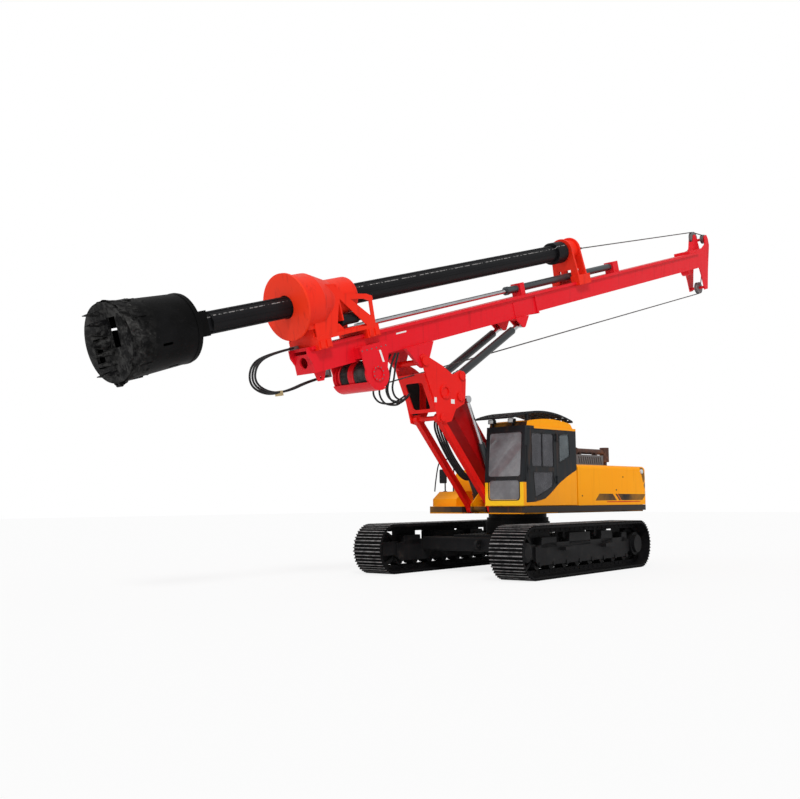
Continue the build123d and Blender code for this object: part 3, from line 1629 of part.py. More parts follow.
# Guide frame that holds the top of the drill rod on the rails
guide_length = 520
guide_leg_in = saddle_half + 40
with BuildPart() as guide:
    with BuildSketch(mast_cut(guide_a)):
        clamp_section()
    extrude(amount=guide_length)
    for start in (guide_a + 60, guide_a + 400):
        with BuildSketch(mast_cut(start)) as guide_rib:
            with BuildLine():
                Polyline(
                    (-clamp_out + 40, clamp_high_b - 20),
                    (-300, rod_axis_b + 60),
                    (300, rod_axis_b + 60),
                    (clamp_out - 40, clamp_high_b - 20),
                    close=True,
                )
            make_face()
            with Locations((0, rod_axis_b)):
                Circle(310)
        extrude(amount=60)
    with BuildSketch(mast_cut(guide_a + 60, rod_axis_b)):
        Circle(255)
    extrude(amount=400)
    with BuildSketch(mast_cut(guide_a - 1, rod_axis_b)):
        Circle(neck_r + gap)
    extrude(amount=guide_length + 100, mode=Mode.SUBTRACT)
    with BuildSketch(mast_cut(guide_a - 1)):
        with Locations((0, (mast_high_b - 5 + saddle_top_b + 30) / 2)):
            Rectangle(2 * guide_leg_in, saddle_top_b + 30 - mast_high_b + 5)
    extrude(amount=guide_length + 100, mode=Mode.SUBTRACT)
write(guide, "rod_guide")

# Drilling bucket with its hinged bottom plate
bucket_r = 635
bucket_top_r = 580
bucket_wall = 25
bucket_top_a = -5210
bucket_low_a = -6560
bottom_hinge_a = bucket_low_a - side_gap / 2
bottom_hinge_b = rod_axis_b - bucket_r - 40
lug_r = 28
lug_pin_r = 15
bottom_plate = 50
tooth_length = 230
with BuildPart() as bucket:
    with BuildSketch(mast_cut(bucket_low_a, rod_axis_b)):
        Circle(bucket_r)
    with BuildSketch(mast_cut(bucket_top_a - gap, rod_axis_b)):
        Circle(bucket_top_r)
    loft()
    with BuildSketch(mast_cut(bucket_low_a - 1, rod_axis_b)):
        Circle(bucket_r - bucket_wall)
    with BuildSketch(mast_cut(bucket_top_a - 60, rod_axis_b)):
        Circle(bucket_top_r - bucket_wall)
    loft(mode=Mode.SUBTRACT)
    # wear rings, wall slots and the square box that takes the stub
    with BuildSketch(mast_cut(bucket_low_a + 40, rod_axis_b)):
        Circle(bucket_r + 4)
        Circle(bucket_r - bucket_wall + 4, mode=Mode.SUBTRACT)
    extrude(amount=120)
    with BuildSketch(mast_cut(bucket_top_a - gap, rod_axis_b)):
        Rectangle(430, 430)
        Rectangle(280 + 2 * gap, 280 + 2 * gap, mode=Mode.SUBTRACT)
    extrude(amount=390)
    for slot_a, turn in ((-6150, 20), (-6300, 60), (-5600, 75), (-6000, 200), (-5750, 250), (-6200, 300)):
        with BuildSketch(mast_cut(slot_a, rod_axis_b)):
            with PolarLocations(bucket_r - 60, 1, start_angle=turn):
                Rectangle(220, 45)
        extrude(amount=190, mode=Mode.SUBTRACT)
    # hinge lug with its pin
    with BuildSketch(mast_side(0)):
        with BuildLine():
            Polyline(
                (bottom_hinge_a + 140, rod_axis_b - bucket_r + 20),
                (bottom_hinge_a + 140, rod_axis_b - bucket_r - 20),
                (bottom_hinge_a, bottom_hinge_b - lug_r),
                (bottom_hinge_a, bottom_hinge_b + lug_r),
                (bottom_hinge_a + 20, rod_axis_b - bucket_r + 20),
                close=True,
            )
        make_face()
        with Locations((bottom_hinge_a, bottom_hinge_b)):
            Circle(lug_r)
    extrude(amount=30, both=True)
    with BuildSketch(mast_side(0)):
        with Locations((bottom_hinge_a, bottom_hinge_b)):
            Circle(lug_pin_r)
    extrude(amount=80, both=True)
write(bucket, "drill_bucket")

bottom_face_a = bucket_low_a - side_gap - bottom_plate
with BuildPart() as bottom:
    with BuildSketch(mast_cut(bucket_low_a - side_gap, rod_axis_b)):
        Circle(bucket_r)
        with Locations((-270, 140), (270, -140)):
            Rectangle(250, 470, mode=Mode.SUBTRACT)
    extrude(amount=-bottom_plate)
    # rows of tapered teeth on both cutting edges
    for row_y, lean in ((-90, 1), (90, -1)):
        for b_step in (-480, -320, -160, 160, 320, 480):
            with BuildSketch(mast_side(row_y - 35)):
                with BuildLine():
                    Polyline(
                        (bottom_face_a + 2, rod_axis_b + b_step - 45),
                        (bottom_face_a + 2, rod_axis_b + b_step + 45),
                        (bottom_face_a - 110, rod_axis_b + b_step + 30),
                        (bottom_face_a - tooth_length, rod_axis_b + b_step + 6),
                        (bottom_face_a - tooth_length, rod_axis_b + b_step - 6),
                        (bottom_face_a - 110, rod_axis_b + b_step - 30),
                        close=True,
                    )
                make_face()
            extrude(amount=70)
    # pilot point in the middle
    with BuildSketch(mast_cut(bottom_face_a + 2, rod_axis_b)):
        Circle(110)
    with BuildSketch(mast_cut(bottom_face_a - 300, rod_axis_b)):
        Circle(20)
    loft()
    for y in (31, -71):
        with BuildSketch(mast_side(y)):
            with BuildLine():
                Polyline(
                    (bucket_low_a - side_gap, rod_axis_b - bucket_r + 30),
                    (bottom_face_a, rod_axis_b - bucket_r + 30),
                    (bottom_face_a, rod_axis_b - bucket_r - 10),
                    (bottom_hinge_a, bottom_hinge_b - lug_r),
                    (bottom_hinge_a, bottom_hinge_b),
                    (bucket_low_a - side_gap, rod_axis_b - bucket_r),
                    close=True,
                )
            make_face()
            with Locations((bottom_hinge_a, bottom_hinge_b)):
                Circle(lug_r)
            with Locations((bottom_hinge_a, bottom_hinge_b)):
                Circle(lug_pin_r + run_fit, mode=Mode.SUBTRACT)
        extrude(amount=40)
write(bottom, "bucket_bottom")

# Hose loop round the mast's foot: a block on the face, a clamp underneath, three hoses
hose_r = 20
hose_rows = (-230, -180, -130)
hose_start_a = mast_foot_a - 50
hose_end_a = -2150
hose_end_b = 190
hose_route = (
    (hose_start_a, 853),
    (-3350, 853),
    (-3820, 760),
    (-3980, 400),
    (-3670, 140),
    (-3150, 110),
    (-2620, hose_end_b),
    (hose_end_a, hose_end_b),
)
with BuildPart() as hose_blocks:
    with BuildSketch(mast_cut(hose_start_a)):
        with Locations((-hose_rows[1], (mast_high_b + 880) / 2 + gap / 2)):
            Rectangle(150, 880 - mast_high_b - gap)
    extrude(amount=110)
    with BuildSketch(mast_cut(hose_end_a)):
        with Locations((-hose_rows[1], (hose_end_b - 30 + mast_low_b) / 2 - gap / 2)):
            Rectangle(150, mast_low_b - hose_end_b + 30 - gap)
    extrude(amount=60)
write(hose_blocks, "hose_blocks")


def arc_radii(points):
    # largest tangent arcs that the runs on both sides of each corner allow
    radii = []
    for before, corner, after in zip(points, points[1:], points[2:]):
        come = math.atan2(corner[1] - before[1], corner[0] - before[0])
        go = math.atan2(after[1] - corner[1], after[0] - corner[0])
        turn = abs((go - come + math.pi) % (2 * math.pi) - math.pi)
        radii.append(0.45 * min(math.dist(before, corner), math.dist(corner, after)) / math.tan(turn / 2))
    return radii


hose_radii = arc_radii(hose_route)
print("hose arc radii", [round(r) for r in hose_radii])
for number, y in enumerate(hose_rows, 1):
    hose_path = [mast_spot(a, b, y) for a, b in hose_route]
    with BuildPart() as hose:
        with BuildLine() as hose_line:
            FilletPolyline(*hose_path, radius=hose_radii)
        with BuildSketch(Plane(origin=hose_path[0], z_dir=(hose_path[1] - hose_path[0]).normalized())):
            Circle(hose_r)
        sweep()
    hose_length = sum(edge.length for edge in hose_line.edges())
    print("hose", number, round(hose_length), round(hose.part.volume / (math.pi * hose_r**2)))
    write(hose, "hose_front_" + str(number))
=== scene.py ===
import math
import bmesh
import bpy
from mathutils import Matrix, Vector, noise


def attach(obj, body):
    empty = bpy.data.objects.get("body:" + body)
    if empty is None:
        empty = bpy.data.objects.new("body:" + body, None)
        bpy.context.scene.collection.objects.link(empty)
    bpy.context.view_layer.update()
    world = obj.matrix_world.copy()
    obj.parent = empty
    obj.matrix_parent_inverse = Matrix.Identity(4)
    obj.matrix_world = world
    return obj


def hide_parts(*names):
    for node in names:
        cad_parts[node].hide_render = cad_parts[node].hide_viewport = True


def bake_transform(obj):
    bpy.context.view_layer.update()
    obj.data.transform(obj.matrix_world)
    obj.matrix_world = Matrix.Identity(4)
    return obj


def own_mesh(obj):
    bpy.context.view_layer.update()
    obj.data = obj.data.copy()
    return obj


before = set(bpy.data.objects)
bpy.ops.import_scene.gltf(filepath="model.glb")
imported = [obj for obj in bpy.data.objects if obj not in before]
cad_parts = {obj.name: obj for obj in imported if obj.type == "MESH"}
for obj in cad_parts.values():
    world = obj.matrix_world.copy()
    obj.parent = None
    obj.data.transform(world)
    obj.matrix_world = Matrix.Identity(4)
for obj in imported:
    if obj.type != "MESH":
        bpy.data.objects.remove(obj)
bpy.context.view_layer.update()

# the photograph's camera: low in front of the left track, with a short telephoto lens
camera = {
    "place": (17.856, 13.748, 1.534),
    "yaw": 224.30,
    "pitch": 5.891,
    "roll": 0.462,
    "lens": 44.31,
    "sensor": 36.0,
}

# the mast's own axes, from its pivot: a runs to the head, b away from the boom
mast = {
    "pivot": (3.45, 0.0, 4.33),
    "lean": 16.5,
    "rodB": 1.61,
    "drum": (-1.45, 0.035),
}
lean = math.radians(mast["lean"])
mastRun = Vector((-math.cos(lean), 0, math.sin(lean)))
mastOut = Vector((math.sin(lean), 0, math.cos(lean)))
mastPivot = Vector(mast["pivot"])
sideways = Vector((0, 1, 0))
upward = Vector((0, 0, 1))


def onMast(a, b, y=0.0):
    return mastPivot + mastRun * a + mastOut * b + sideways * y


def aim(cam):
    yaw, pitch, roll = (math.radians(cam[key]) for key in ("yaw", "pitch", "roll"))
    level = math.cos(pitch)
    forward = Vector((math.cos(yaw) * level, math.sin(yaw) * level, math.sin(pitch)))
    right = forward.cross(upward).normalized()
    up = right.cross(forward)
    turn = Matrix.Rotation(roll, 3, forward)
    right, up = turn @ right, turn @ up
    data = bpy.data.cameras.new("camera")
    data.lens = cam["lens"]
    data.sensor_width = cam["sensor"]
    data.clip_end = 200
    holder = bpy.data.objects.new("camera", data)
    rows = [(right[i], up[i], -forward[i], cam["place"][i]) for i in range(3)]
    holder.matrix_world = Matrix(rows + [(0, 0, 0, 1)])
    bpy.context.scene.collection.objects.link(holder)
    bpy.context.scene.camera = holder


aim(camera)
print("camera set")


def operator(operation, swapped=False):
    def apply(self, other=0):
        first, second = (other, self) if swapped else (self, other)
        return self.finish.add("Math", {"operation": operation}, {0: first, 1: second})
    return apply


class Signal:
    # wraps one output socket, so that masks are written as sums
    def __init__(self, finish, socket):
        self.finish = finish
        self.socket = socket

    __add__ = operator("ADD")
    __radd__ = operator("ADD", swapped=True)
    __sub__ = operator("SUBTRACT")
    __rsub__ = operator("SUBTRACT", swapped=True)
    __mul__ = operator("MULTIPLY")
    __truediv__ = operator("DIVIDE")
    __gt__ = operator("GREATER_THAN")
    __lt__ = operator("LESS_THAN")
    __abs__ = operator("ABSOLUTE")
    over = operator("MAXIMUM")
    under = operator("MINIMUM")
    root = operator("SQRT")
    sine = operator("SINE")
    angle = operator("ARCTAN2")

    def ramp(self, low, high):
        smooth = {"interpolation_type": "SMOOTHSTEP"}
        return self.finish.add("MapRange", smooth, {0: self, 1: low, 2: high})


class Finish:
    # one material, with its shader and the two places that its masks read
    names = {
        "colour": "Base Color", "rough": "Roughness", "metal": "Metallic", "alpha": "Alpha",
        "normal": "Normal", "gloss": "Specular IOR Level",
    }

    def __init__(self, name):
        self.material = bpy.data.materials.new(name)
        self.material.use_nodes = True
        self.tree = self.material.node_tree
        self.shader = self.tree.nodes["Principled BSDF"]
        self.place = self.add("TexCoord", out="Object")
        self.facing = self.add("TexCoord", out="Normal")

    def add(self, kind, settings=None, sockets=None, out=0):
        node = self.tree.nodes.new("ShaderNode" + kind)
        for name, value in (settings or {}).items():
            if name == "stops":
                ramp = node.color_ramp.elements
                while len(ramp) < len(value):
                    ramp.new(0.5)
                for element, (spot, level) in zip(ramp, value):
                    element.position = spot
                    element.color = (level, level, level, 1)
            else:
                setattr(node, name, value)
        for key, value in (sockets or {}).items():
            self.feed(node.inputs[key], value)
        return Signal(self, node.outputs[out])

    def feed(self, socket, value):
        if isinstance(value, Signal):
            self.tree.links.new(value.socket, socket)
        elif isinstance(value, tuple) and socket.type == "RGBA":
            socket.default_value = (*value, 1)
        else:
            socket.default_value = value

    def axes(self, signal=None):
        source = signal or self.place
        node = self.tree.nodes.new("ShaderNodeSeparateXYZ")
        self.tree.links.new(source.socket, node.inputs[0])
        return [Signal(self, node.outputs[i]) for i in range(3)]

    def along(self, direction, offset=0.0):
        sockets = {0: self.place, 1: tuple(direction)}
        return self.add("VectorMath", {"operation": "DOT_PRODUCT"}, sockets, "Value") - offset

    def grain(self, scale, detail=3.0, rough=0.5, stretch=None):
        place = self.place
        if stretch:
            place = self.add("VectorMath", {"operation": "MULTIPLY"}, {0: place, 1: stretch})
        sockets = {"Vector": place, "Scale": scale, "Detail": detail, "Roughness": rough}
        return self.add("TexNoise", {}, sockets, "Fac")

    def mix(self, mask, first, second):
        return self.add("Mix", {"data_type": "RGBA"}, {0: mask, 6: first, 7: second}, 2)

    def set(self, **values):
        for key, value in values.items():
            self.feed(self.shader.inputs[self.names[key]], value)
        return self

    def bump(self, height, depth, strength=1.0):
        sockets = {"Height": height, "Distance": depth, "Strength": strength}
        return self.set(normal=self.add("Bump", {}, sockets, "Normal"))


def seam(signal, spot, width):
    return abs(signal - spot) < width / 2


def band(signal, low, high):
    return (signal > low) * (signal < high)


# how painted steel ages, where a finish says nothing else
worn = {
    "fadeScale": 0.9, "fade": 0.35, "faded": (0.6, 0.12, 0.08),
    "streaks": 0.3, "grime": (0.05, 0.03, 0.02),
    "dust": 0.25, "dustColour": (0.42, 0.33, 0.24),
    "splash": 0.0, "splashLow": 0.2, "splashHigh": 1.2,
    "chips": 0.6, "chipScale": 22.0, "chipColour": (0.09, 0.045, 0.035),
    "rough": 0.34, "gloss": 0.45, "bump": 0.004,
}


def weather(finish, colour, look):
    # fading, rain streaks, dust on upper faces, splashes low down and small chips over a paint
    look = {**worn, **look}
    z = finish.axes()[2]
    nz = finish.axes(finish.facing)[2]
    fade = finish.grain(look["fadeScale"], 4, 0.6).ramp(0.35, 0.7)
    colour = finish.mix(fade * look["fade"], colour, look["faded"])
    streaks = finish.grain(7.0, 5, 0.6, stretch=(1.6, 1.6, 0.12)).ramp(0.52, 0.75)
    grime = (streaks * look["streaks"]).under(0.9)
    colour = finish.mix(grime, colour, look["grime"])
    patches = finish.grain(3.5, 6, 0.7).ramp(0.55, 0.75)
    dust = nz.ramp(0.35, 0.9) * (0.35 + patches) * look["dust"]
    low = (1 - z.ramp(look["splashLow"], look["splashHigh"])) * patches * look["splash"]
    cover = (dust + low).under(0.85)
    colour = finish.mix(cover, colour, look["dustColour"])
    chips = finish.grain(look["chipScale"], 5, 0.75).ramp(0.69, 0.71)
    chips = chips * finish.grain(1.7, 2).ramp(0.5, 0.62)
    colour = finish.mix(chips * look["chips"], colour, look["chipColour"])
    rough = look["rough"] + cover * 0.35 + chips * 0.25 + grime * 0.2
    orange = finish.grain(140.0, 2) * 0.25 + finish.grain(2.2, 3) * 1.6 - chips * 0.35
    finish.set(colour=colour, rough=rough, gloss=look["gloss"])
    return finish.bump(orange, look["bump"], 0.6)


redAge = {"grime": (0.22, 0.006, 0.008), "gloss": 0.16, "dust": 0.14}
reds = {
    "mast": {"colour": (0.78, 0.006, 0.016), "fade": 0.35, "faded": (0.74, 0.018, 0.030)},
    "drive": {"colour": (0.88, 0.022, 0.006), "fade": 0.3, "faded": (0.86, 0.045, 0.020), "rough": 0.44},
    "disc": {"colour": (0.93, 0.036, 0.008), "fade": 0.25, "faded": (0.90, 0.060, 0.020), "rough": 0.46},
    # painted shade: the boom's red is a darker copy of the same paint, for the shade that the mast and the
    # triangle frame cast on it
    "boom": {"colour": (0.40, 0.003, 0.004), "fade": 0.4, "faded": (0.54, 0.006, 0.008), "dust": 0.08},
    "rods": {"colour": (0.82, 0.010, 0.006), "fade": 0.3, "faded": (0.58, 0.005, 0.006)},
    "triangle": {"colour": (0.86, 0.012, 0.008), "fade": 0.3, "faded": (0.68, 0.008, 0.008)},
}


def redPaint(name):
    return weather(Finish(name + "_red_paint"), reds[name]["colour"], {**redAge, **reds[name]})


yellow = {
    "colour": (0.97, 0.350, 0.0),
    "look": {
        "fade": 0.3, "faded": (0.95, 0.40, 0.008), "streaks": 0.14, "grime": (0.50, 0.15, 0.005),
        "dust": 0.10, "chips": 0.35, "chipColour": (0.2, 0.08, 0.03), "rough": 0.4, "bump": 0.003,
        "gloss": 0.1,
    },
    # painted light: a lighter copy of the yellow for the forward-facing faces of the cab's lower front corner
    "front": (0.98, 0.56, 0.01),
    "black": (0.014, 0.016, 0.018),
    "skirt": (0.040, 0.031, 0.027),
    "line": (0.55, 0.02, 0.01),
}

# the marks on the body's sides; each pair is a low and a high limit
marks = {
    "skirtZ": (1.272, 1.404), "skirtEnd": 0.3,
    "level": 1.5, "lean": 1.1,
    "stripeX": (-3.02, -1.02), "stripeTop": (1.655, 0.006), "stripeLow": (1.515, -0.002),
    "notches": ((-2.03, -1.93), (-2.14, -2.10)), "edge": (-2.12, 0.03),
    "lineX": (-2.95, -1.5), "lineZ": (1.47, 1.495),
    "barX": (-3.38, -3.24), "barZ": (1.55, 2.28), "barLean": 0.35,
    "breaks": ((1.86, 1.97), (2.10, 2.16)), "breakLean": 1.2, "breakFrom": 3.3,
}


def yellowPaint():
    # body panels with the dark skirt, the black stripe over its red line and the tail's slanted bars
    finish = Finish("body_yellow_paint")
    x, y, z = finish.axes()
    side = abs(finish.axes(finish.facing)[1]) > 0.6
    floor, rim = marks["skirtZ"]
    low = (z < rim) * (z > floor).over(x < marks["skirtEnd"])
    colour = finish.mix(low, yellow["colour"], yellow["skirt"])
    rise = z - marks["level"]
    foot, top = (start + (x + 3.0) * slope for start, slope in (marks["stripeLow"], marks["stripeTop"]))
    stripe = band(z, foot, top) * band(x + rise * marks["lean"], *marks["stripeX"])
    back = x + rise * -marks["lean"]
    notch = band(back, *marks["notches"][0]).over(band(back, *marks["notches"][1]))
    redLine = band(z, *marks["lineZ"]) * band(x, *marks["lineX"])
    bars = band(x - rise * marks["barLean"], *marks["barX"]) * band(z, *marks["barZ"])
    slant = z + (x + marks["breakFrom"]) * marks["breakLean"]
    breaks = band(slant, *marks["breaks"][0]).over(band(slant, *marks["breaks"][1]))
    black = (stripe * (1 - notch)).over(bars * (1 - breaks))
    colour = finish.mix(side * black, colour, yellow["black"])
    redLine = redLine.over(stripe * seam(back, *marks["edge"]))
    colour = finish.mix(side * redLine, colour, yellow["line"])
    return weather(finish, colour, yellow["look"])


# the sweep's lower edge on the cab's side, as x and z
cabSweep = {
    "points": ((-0.42, 2.235), (-0.316, 2.178), (0.004, 2.049), (0.343, 1.881), (0.629, 1.690),
               (0.861, 1.557), (1.264, 1.493), (1.62, 1.48)),
    "start": 0.5, "span": 2.2, "foot": 1.4,
}
cabBlack = {
    "colour": (0.012, 0.015, 0.018),
    "look": {
        "rough": 0.4, "gloss": 0.16, "dust": 0.06, "streaks": 0.1, "chips": 0.2, "fade": 0.08,
        "faded": (0.1, 0.09, 0.08),
    },
    "roofFront": (0.035, 0.018, 0.014),
}


def cabPaint():
    # black cab with the yellow sweep along its lower edge and yellow round the lower windscreen
    finish = Finish("cab_black_and_yellow")
    x, y, z = finish.axes()
    nx = finish.axes(finish.facing)[0]
    start, span, foot = (cabSweep[key] for key in ("start", "span", "foot"))
    stops = [((px + start) / span, pz - foot) for px, pz in cabSweep["points"]]
    curve = finish.add("ValToRGB", {"stops": stops}, {0: (x + start) / span})
    sweep = finish.add("SeparateColor", {}, {0: curve}) + foot
    low = (z < sweep) * (x < 1.5)
    corner = (x > 1.5) * (z < 1.905)
    inner = (y < 0.7) * (x < 1.45) * (z < 1.9)
    top = (z > 3.03) * (x < 1.2)
    painted = low.over(corner).over(inner).over(top)
    colour = finish.mix(painted, cabBlack["colour"], yellow["colour"])
    # painted light: the yellow corner's forward-facing faces get a lighter yellow, as if lit more
    colour = finish.mix(corner * (nx > 0.5), colour, yellow["front"])
    return weather(finish, colour, {**yellow["look"], **cabBlack["look"]})


def roofPaint():
    # roof cap: yellow skin, black front edge
    finish = Finish("cab_roof_paint")
    x = finish.axes()[0]
    nx, ny = finish.axes(finish.facing)[:2]
    front = (x > 1.0) * (nx > 0.25) * (ny < 0.75)
    colour = finish.mix(front, yellow["colour"], cabBlack["roofFront"])
    return weather(finish, colour, {**yellow["look"], "dust": 0.3})


def drySoil():
    finish = Finish("dried_soil")
    lumps = finish.grain(9.0, 7, 0.75)
    damp = finish.grain(2.2, 4, 0.6).ramp(0.4, 0.65)
    colour = finish.mix(lumps.ramp(0.35, 0.7), (0.004, 0.004, 0.004), (0.070, 0.069, 0.067))
    colour = finish.mix(damp * 0.7, colour, (0.004, 0.004, 0.004))
    finish.set(colour=colour, rough=0.75 + lumps * 0.2, gloss=0.05)
    return finish.bump(lumps + finish.grain(40.0, 5, 0.7) * 0.4, 0.02, 0.9)


soot = {
    "fade": 0.35, "faded": (0.028, 0.028, 0.028), "streaks": 0.2, "grime": (0.04, 0.03, 0.025),
    "dust": 0.25, "dustColour": (0.16, 0.13, 0.10), "chips": 0.5, "chipColour": (0.16, 0.12, 0.10),
    "rough": 0.5, "gloss": 0.12, "bump": 0.005,
}


def blackPaint(name, colour=(0.011, 0.012, 0.014), **look):
    return weather(Finish(name), colour, {**soot, **look})


# the track in its own axes: chain is the radius that the shoes' pitch is measured on
track = {
    "centreZ": 0.528, "halfRun": 2.372, "gauge": 3.4, "turn": 6.5, "centre": (0.397, 0.045),
    "reach": 0.528, "chain": 0.478, "shoes": 60,
}


def trackSteel(side):
    # cast shoes: worn bright on the ribs' tips, mud in the gaps
    finish = Finish("track_steel_" + side)
    turn = math.radians(track["turn"])
    run = Vector((math.cos(turn), math.sin(turn), 0))
    fore = finish.along(run, Vector((*track["centre"], 0)).dot(run))
    z = finish.axes()[2]
    past = (abs(fore) - track["halfRun"]).over(0.0)
    height = z - track["centreZ"]
    reach = (past * past + height * height).root()
    wear = finish.grain(9.0, 4, 0.6).ramp(0.3, 0.62)
    tips = reach.ramp(track["reach"] - 0.009, track["reach"] - 0.001)
    tips = tips * (0.25 + wear * 0.75)
    dirt = finish.grain(5.0, 6, 0.7).ramp(0.42, 0.75)
    colour = finish.mix(dirt * 0.5, (0.006, 0.006, 0.007), (0.022, 0.019, 0.016))
    colour = finish.mix(tips * 0.9, colour, (0.26, 0.255, 0.255))
    finish.set(colour=colour, rough=0.6 - tips * 0.2 + dirt * 0.2, metal=tips * 0.5, gloss=0.07)
    return finish.bump(finish.grain(30.0, 5, 0.65) + dirt * 0.5, 0.006, 0.7)


rodHighlight = {"from": 30, "to": 35, "colour": (0.26, 0.25, 0.245)}


def rodSteel():
    # drill rod: black, with a painted highlight: a dashed pale line between two ribs
    finish = Finish("drill_rod_black")
    b = finish.along(mastOut, mastPivot.dot(mastOut) + mast["rodB"])
    angle = b.angle(finish.axes()[1])
    dash = finish.grain(16.0, 2, 0.5).ramp(0.42, 0.55)
    # painted highlight: a pale band at a fixed angle round the rod, broken into dashes
    line = band(angle, math.radians(rodHighlight["from"]), math.radians(rodHighlight["to"])) * dash
    sheen = finish.grain(2.0, 5, 0.6, stretch=(0.25, 1, 0.25)).ramp(0.4, 0.7)
    colour = finish.mix(sheen * 0.35, (0.006, 0.006, 0.007), (0.022, 0.023, 0.025))
    colour = finish.mix(line, colour, rodHighlight["colour"])
    finish.set(colour=colour, rough=0.46 + sheen * 0.15, gloss=0.12)
    return finish.bump(finish.grain(18.0, 5, 0.6) + line * 0.6, 0.003, 0.6)


def bucketSteel(name, muddy):
    finish = Finish(name)
    a = finish.along(mastRun, mastPivot.dot(mastRun))
    scratch = finish.grain(26.0, 6, 0.75, stretch=(0.35, 1.4, 1.0)).ramp(0.56, 0.7)
    front = 1 - a.ramp(-6.75, -5.9)
    mud = (finish.grain(7.0, 7, 0.75).ramp(0.45, 0.62) * front * muddy).under(1.0)
    sheen = finish.grain(1.6, 4, 0.6).ramp(0.35, 0.7)
    colour = finish.mix(sheen * 0.5, (0.002, 0.002, 0.002), (0.010, 0.010, 0.011))
    colour = finish.mix(scratch * (0.06 + front * 0.35), colour, (0.07, 0.07, 0.072))
    colour = finish.mix(mud * 0.6, colour, (0.075, 0.074, 0.072))
    finish.set(colour=colour, rough=0.5 + mud * 0.35 + scratch * 0.12, gloss=0.07)
    return finish.bump(finish.grain(40.0, 7, 0.7) * (0.25 + mud) + scratch * 0.3, 0.012, 0.8)


def chrome():
    finish = Finish("rod_chrome")
    wipe = finish.grain(5.0, 4, 0.6).ramp(0.4, 0.7)
    colour = finish.mix(wipe * 0.4, (0.62, 0.63, 0.65), (0.35, 0.34, 0.33))
    finish.set(colour=colour, rough=0.16 + wipe * 0.18, metal=1.0)
    return finish.bump(finish.grain(220.0, 2), 0.0005, 0.3)


def bareSteel(name="bare_steel", colour=(0.2, 0.2, 0.205), rust=0.25):
    finish = Finish(name)
    stain = finish.grain(6.0, 6, 0.7).ramp(0.42, 0.66)
    brown = finish.mix(finish.grain(20.0, 4).ramp(0.3, 0.7), (0.10, 0.035, 0.018), (0.20, 0.085, 0.045))
    tone = finish.mix(stain * rust, colour, brown)
    finish.set(colour=tone, rough=0.42 + stain * 0.35, metal=0.75 - stain * 0.6)
    return finish.bump(finish.grain(60.0, 5, 0.6) + stain * 0.6, 0.002, 0.6)


def rubber(name, colour=(0.010, 0.010, 0.011)):
    finish = Finish(name)
    bloom = finish.grain(14.0, 4, 0.6).ramp(0.4, 0.7)
    tone = finish.mix(bloom * 0.5, colour, tuple(c * 2.6 + 0.01 for c in colour))
    finish.set(colour=tone, rough=0.5 + bloom * 0.2, gloss=0.3)
    return finish.bump(finish.grain(160.0, 3), 0.001, 0.5)


def wireRope():
    finish = Finish("wire_rope")
    strands = (finish.along(mastRun) * 210.0 + finish.axes()[1] * 900.0).sine()
    grease = finish.grain(9.0, 4, 0.6).ramp(0.35, 0.7)
    tone = finish.mix(strands.ramp(-0.6, 0.4), (0.012, 0.012, 0.012), (0.17, 0.165, 0.16))
    tone = finish.mix(grease * 0.5, tone, (0.02, 0.018, 0.016))
    finish.set(colour=tone, rough=0.5 + grease * 0.2, metal=0.5)
    return finish.bump(strands, 0.002, 0.8)


def glass(name, colour, alpha):
    finish = Finish(name)
    film = finish.grain(3.0, 5, 0.65).ramp(0.35, 0.75)
    tone = finish.mix(film * 0.5, colour, tuple(min(1, c * 1.7 + 0.02) for c in colour))
    return finish.set(colour=tone, rough=0.06 + film * 0.12, alpha=alpha + film * 0.08, gloss=0.5)


def plain(name, colour, rough, metal=0.0):
    finish = Finish(name)
    spots = finish.grain(12.0, 5, 0.65).ramp(0.45, 0.75)
    tone = finish.mix(spots * 0.35, colour, tuple(c * 0.6 for c in colour))
    finish.set(colour=tone, rough=rough + spots * 0.15, metal=metal)
    return finish.bump(finish.grain(80.0, 3), 0.001, 0.4)


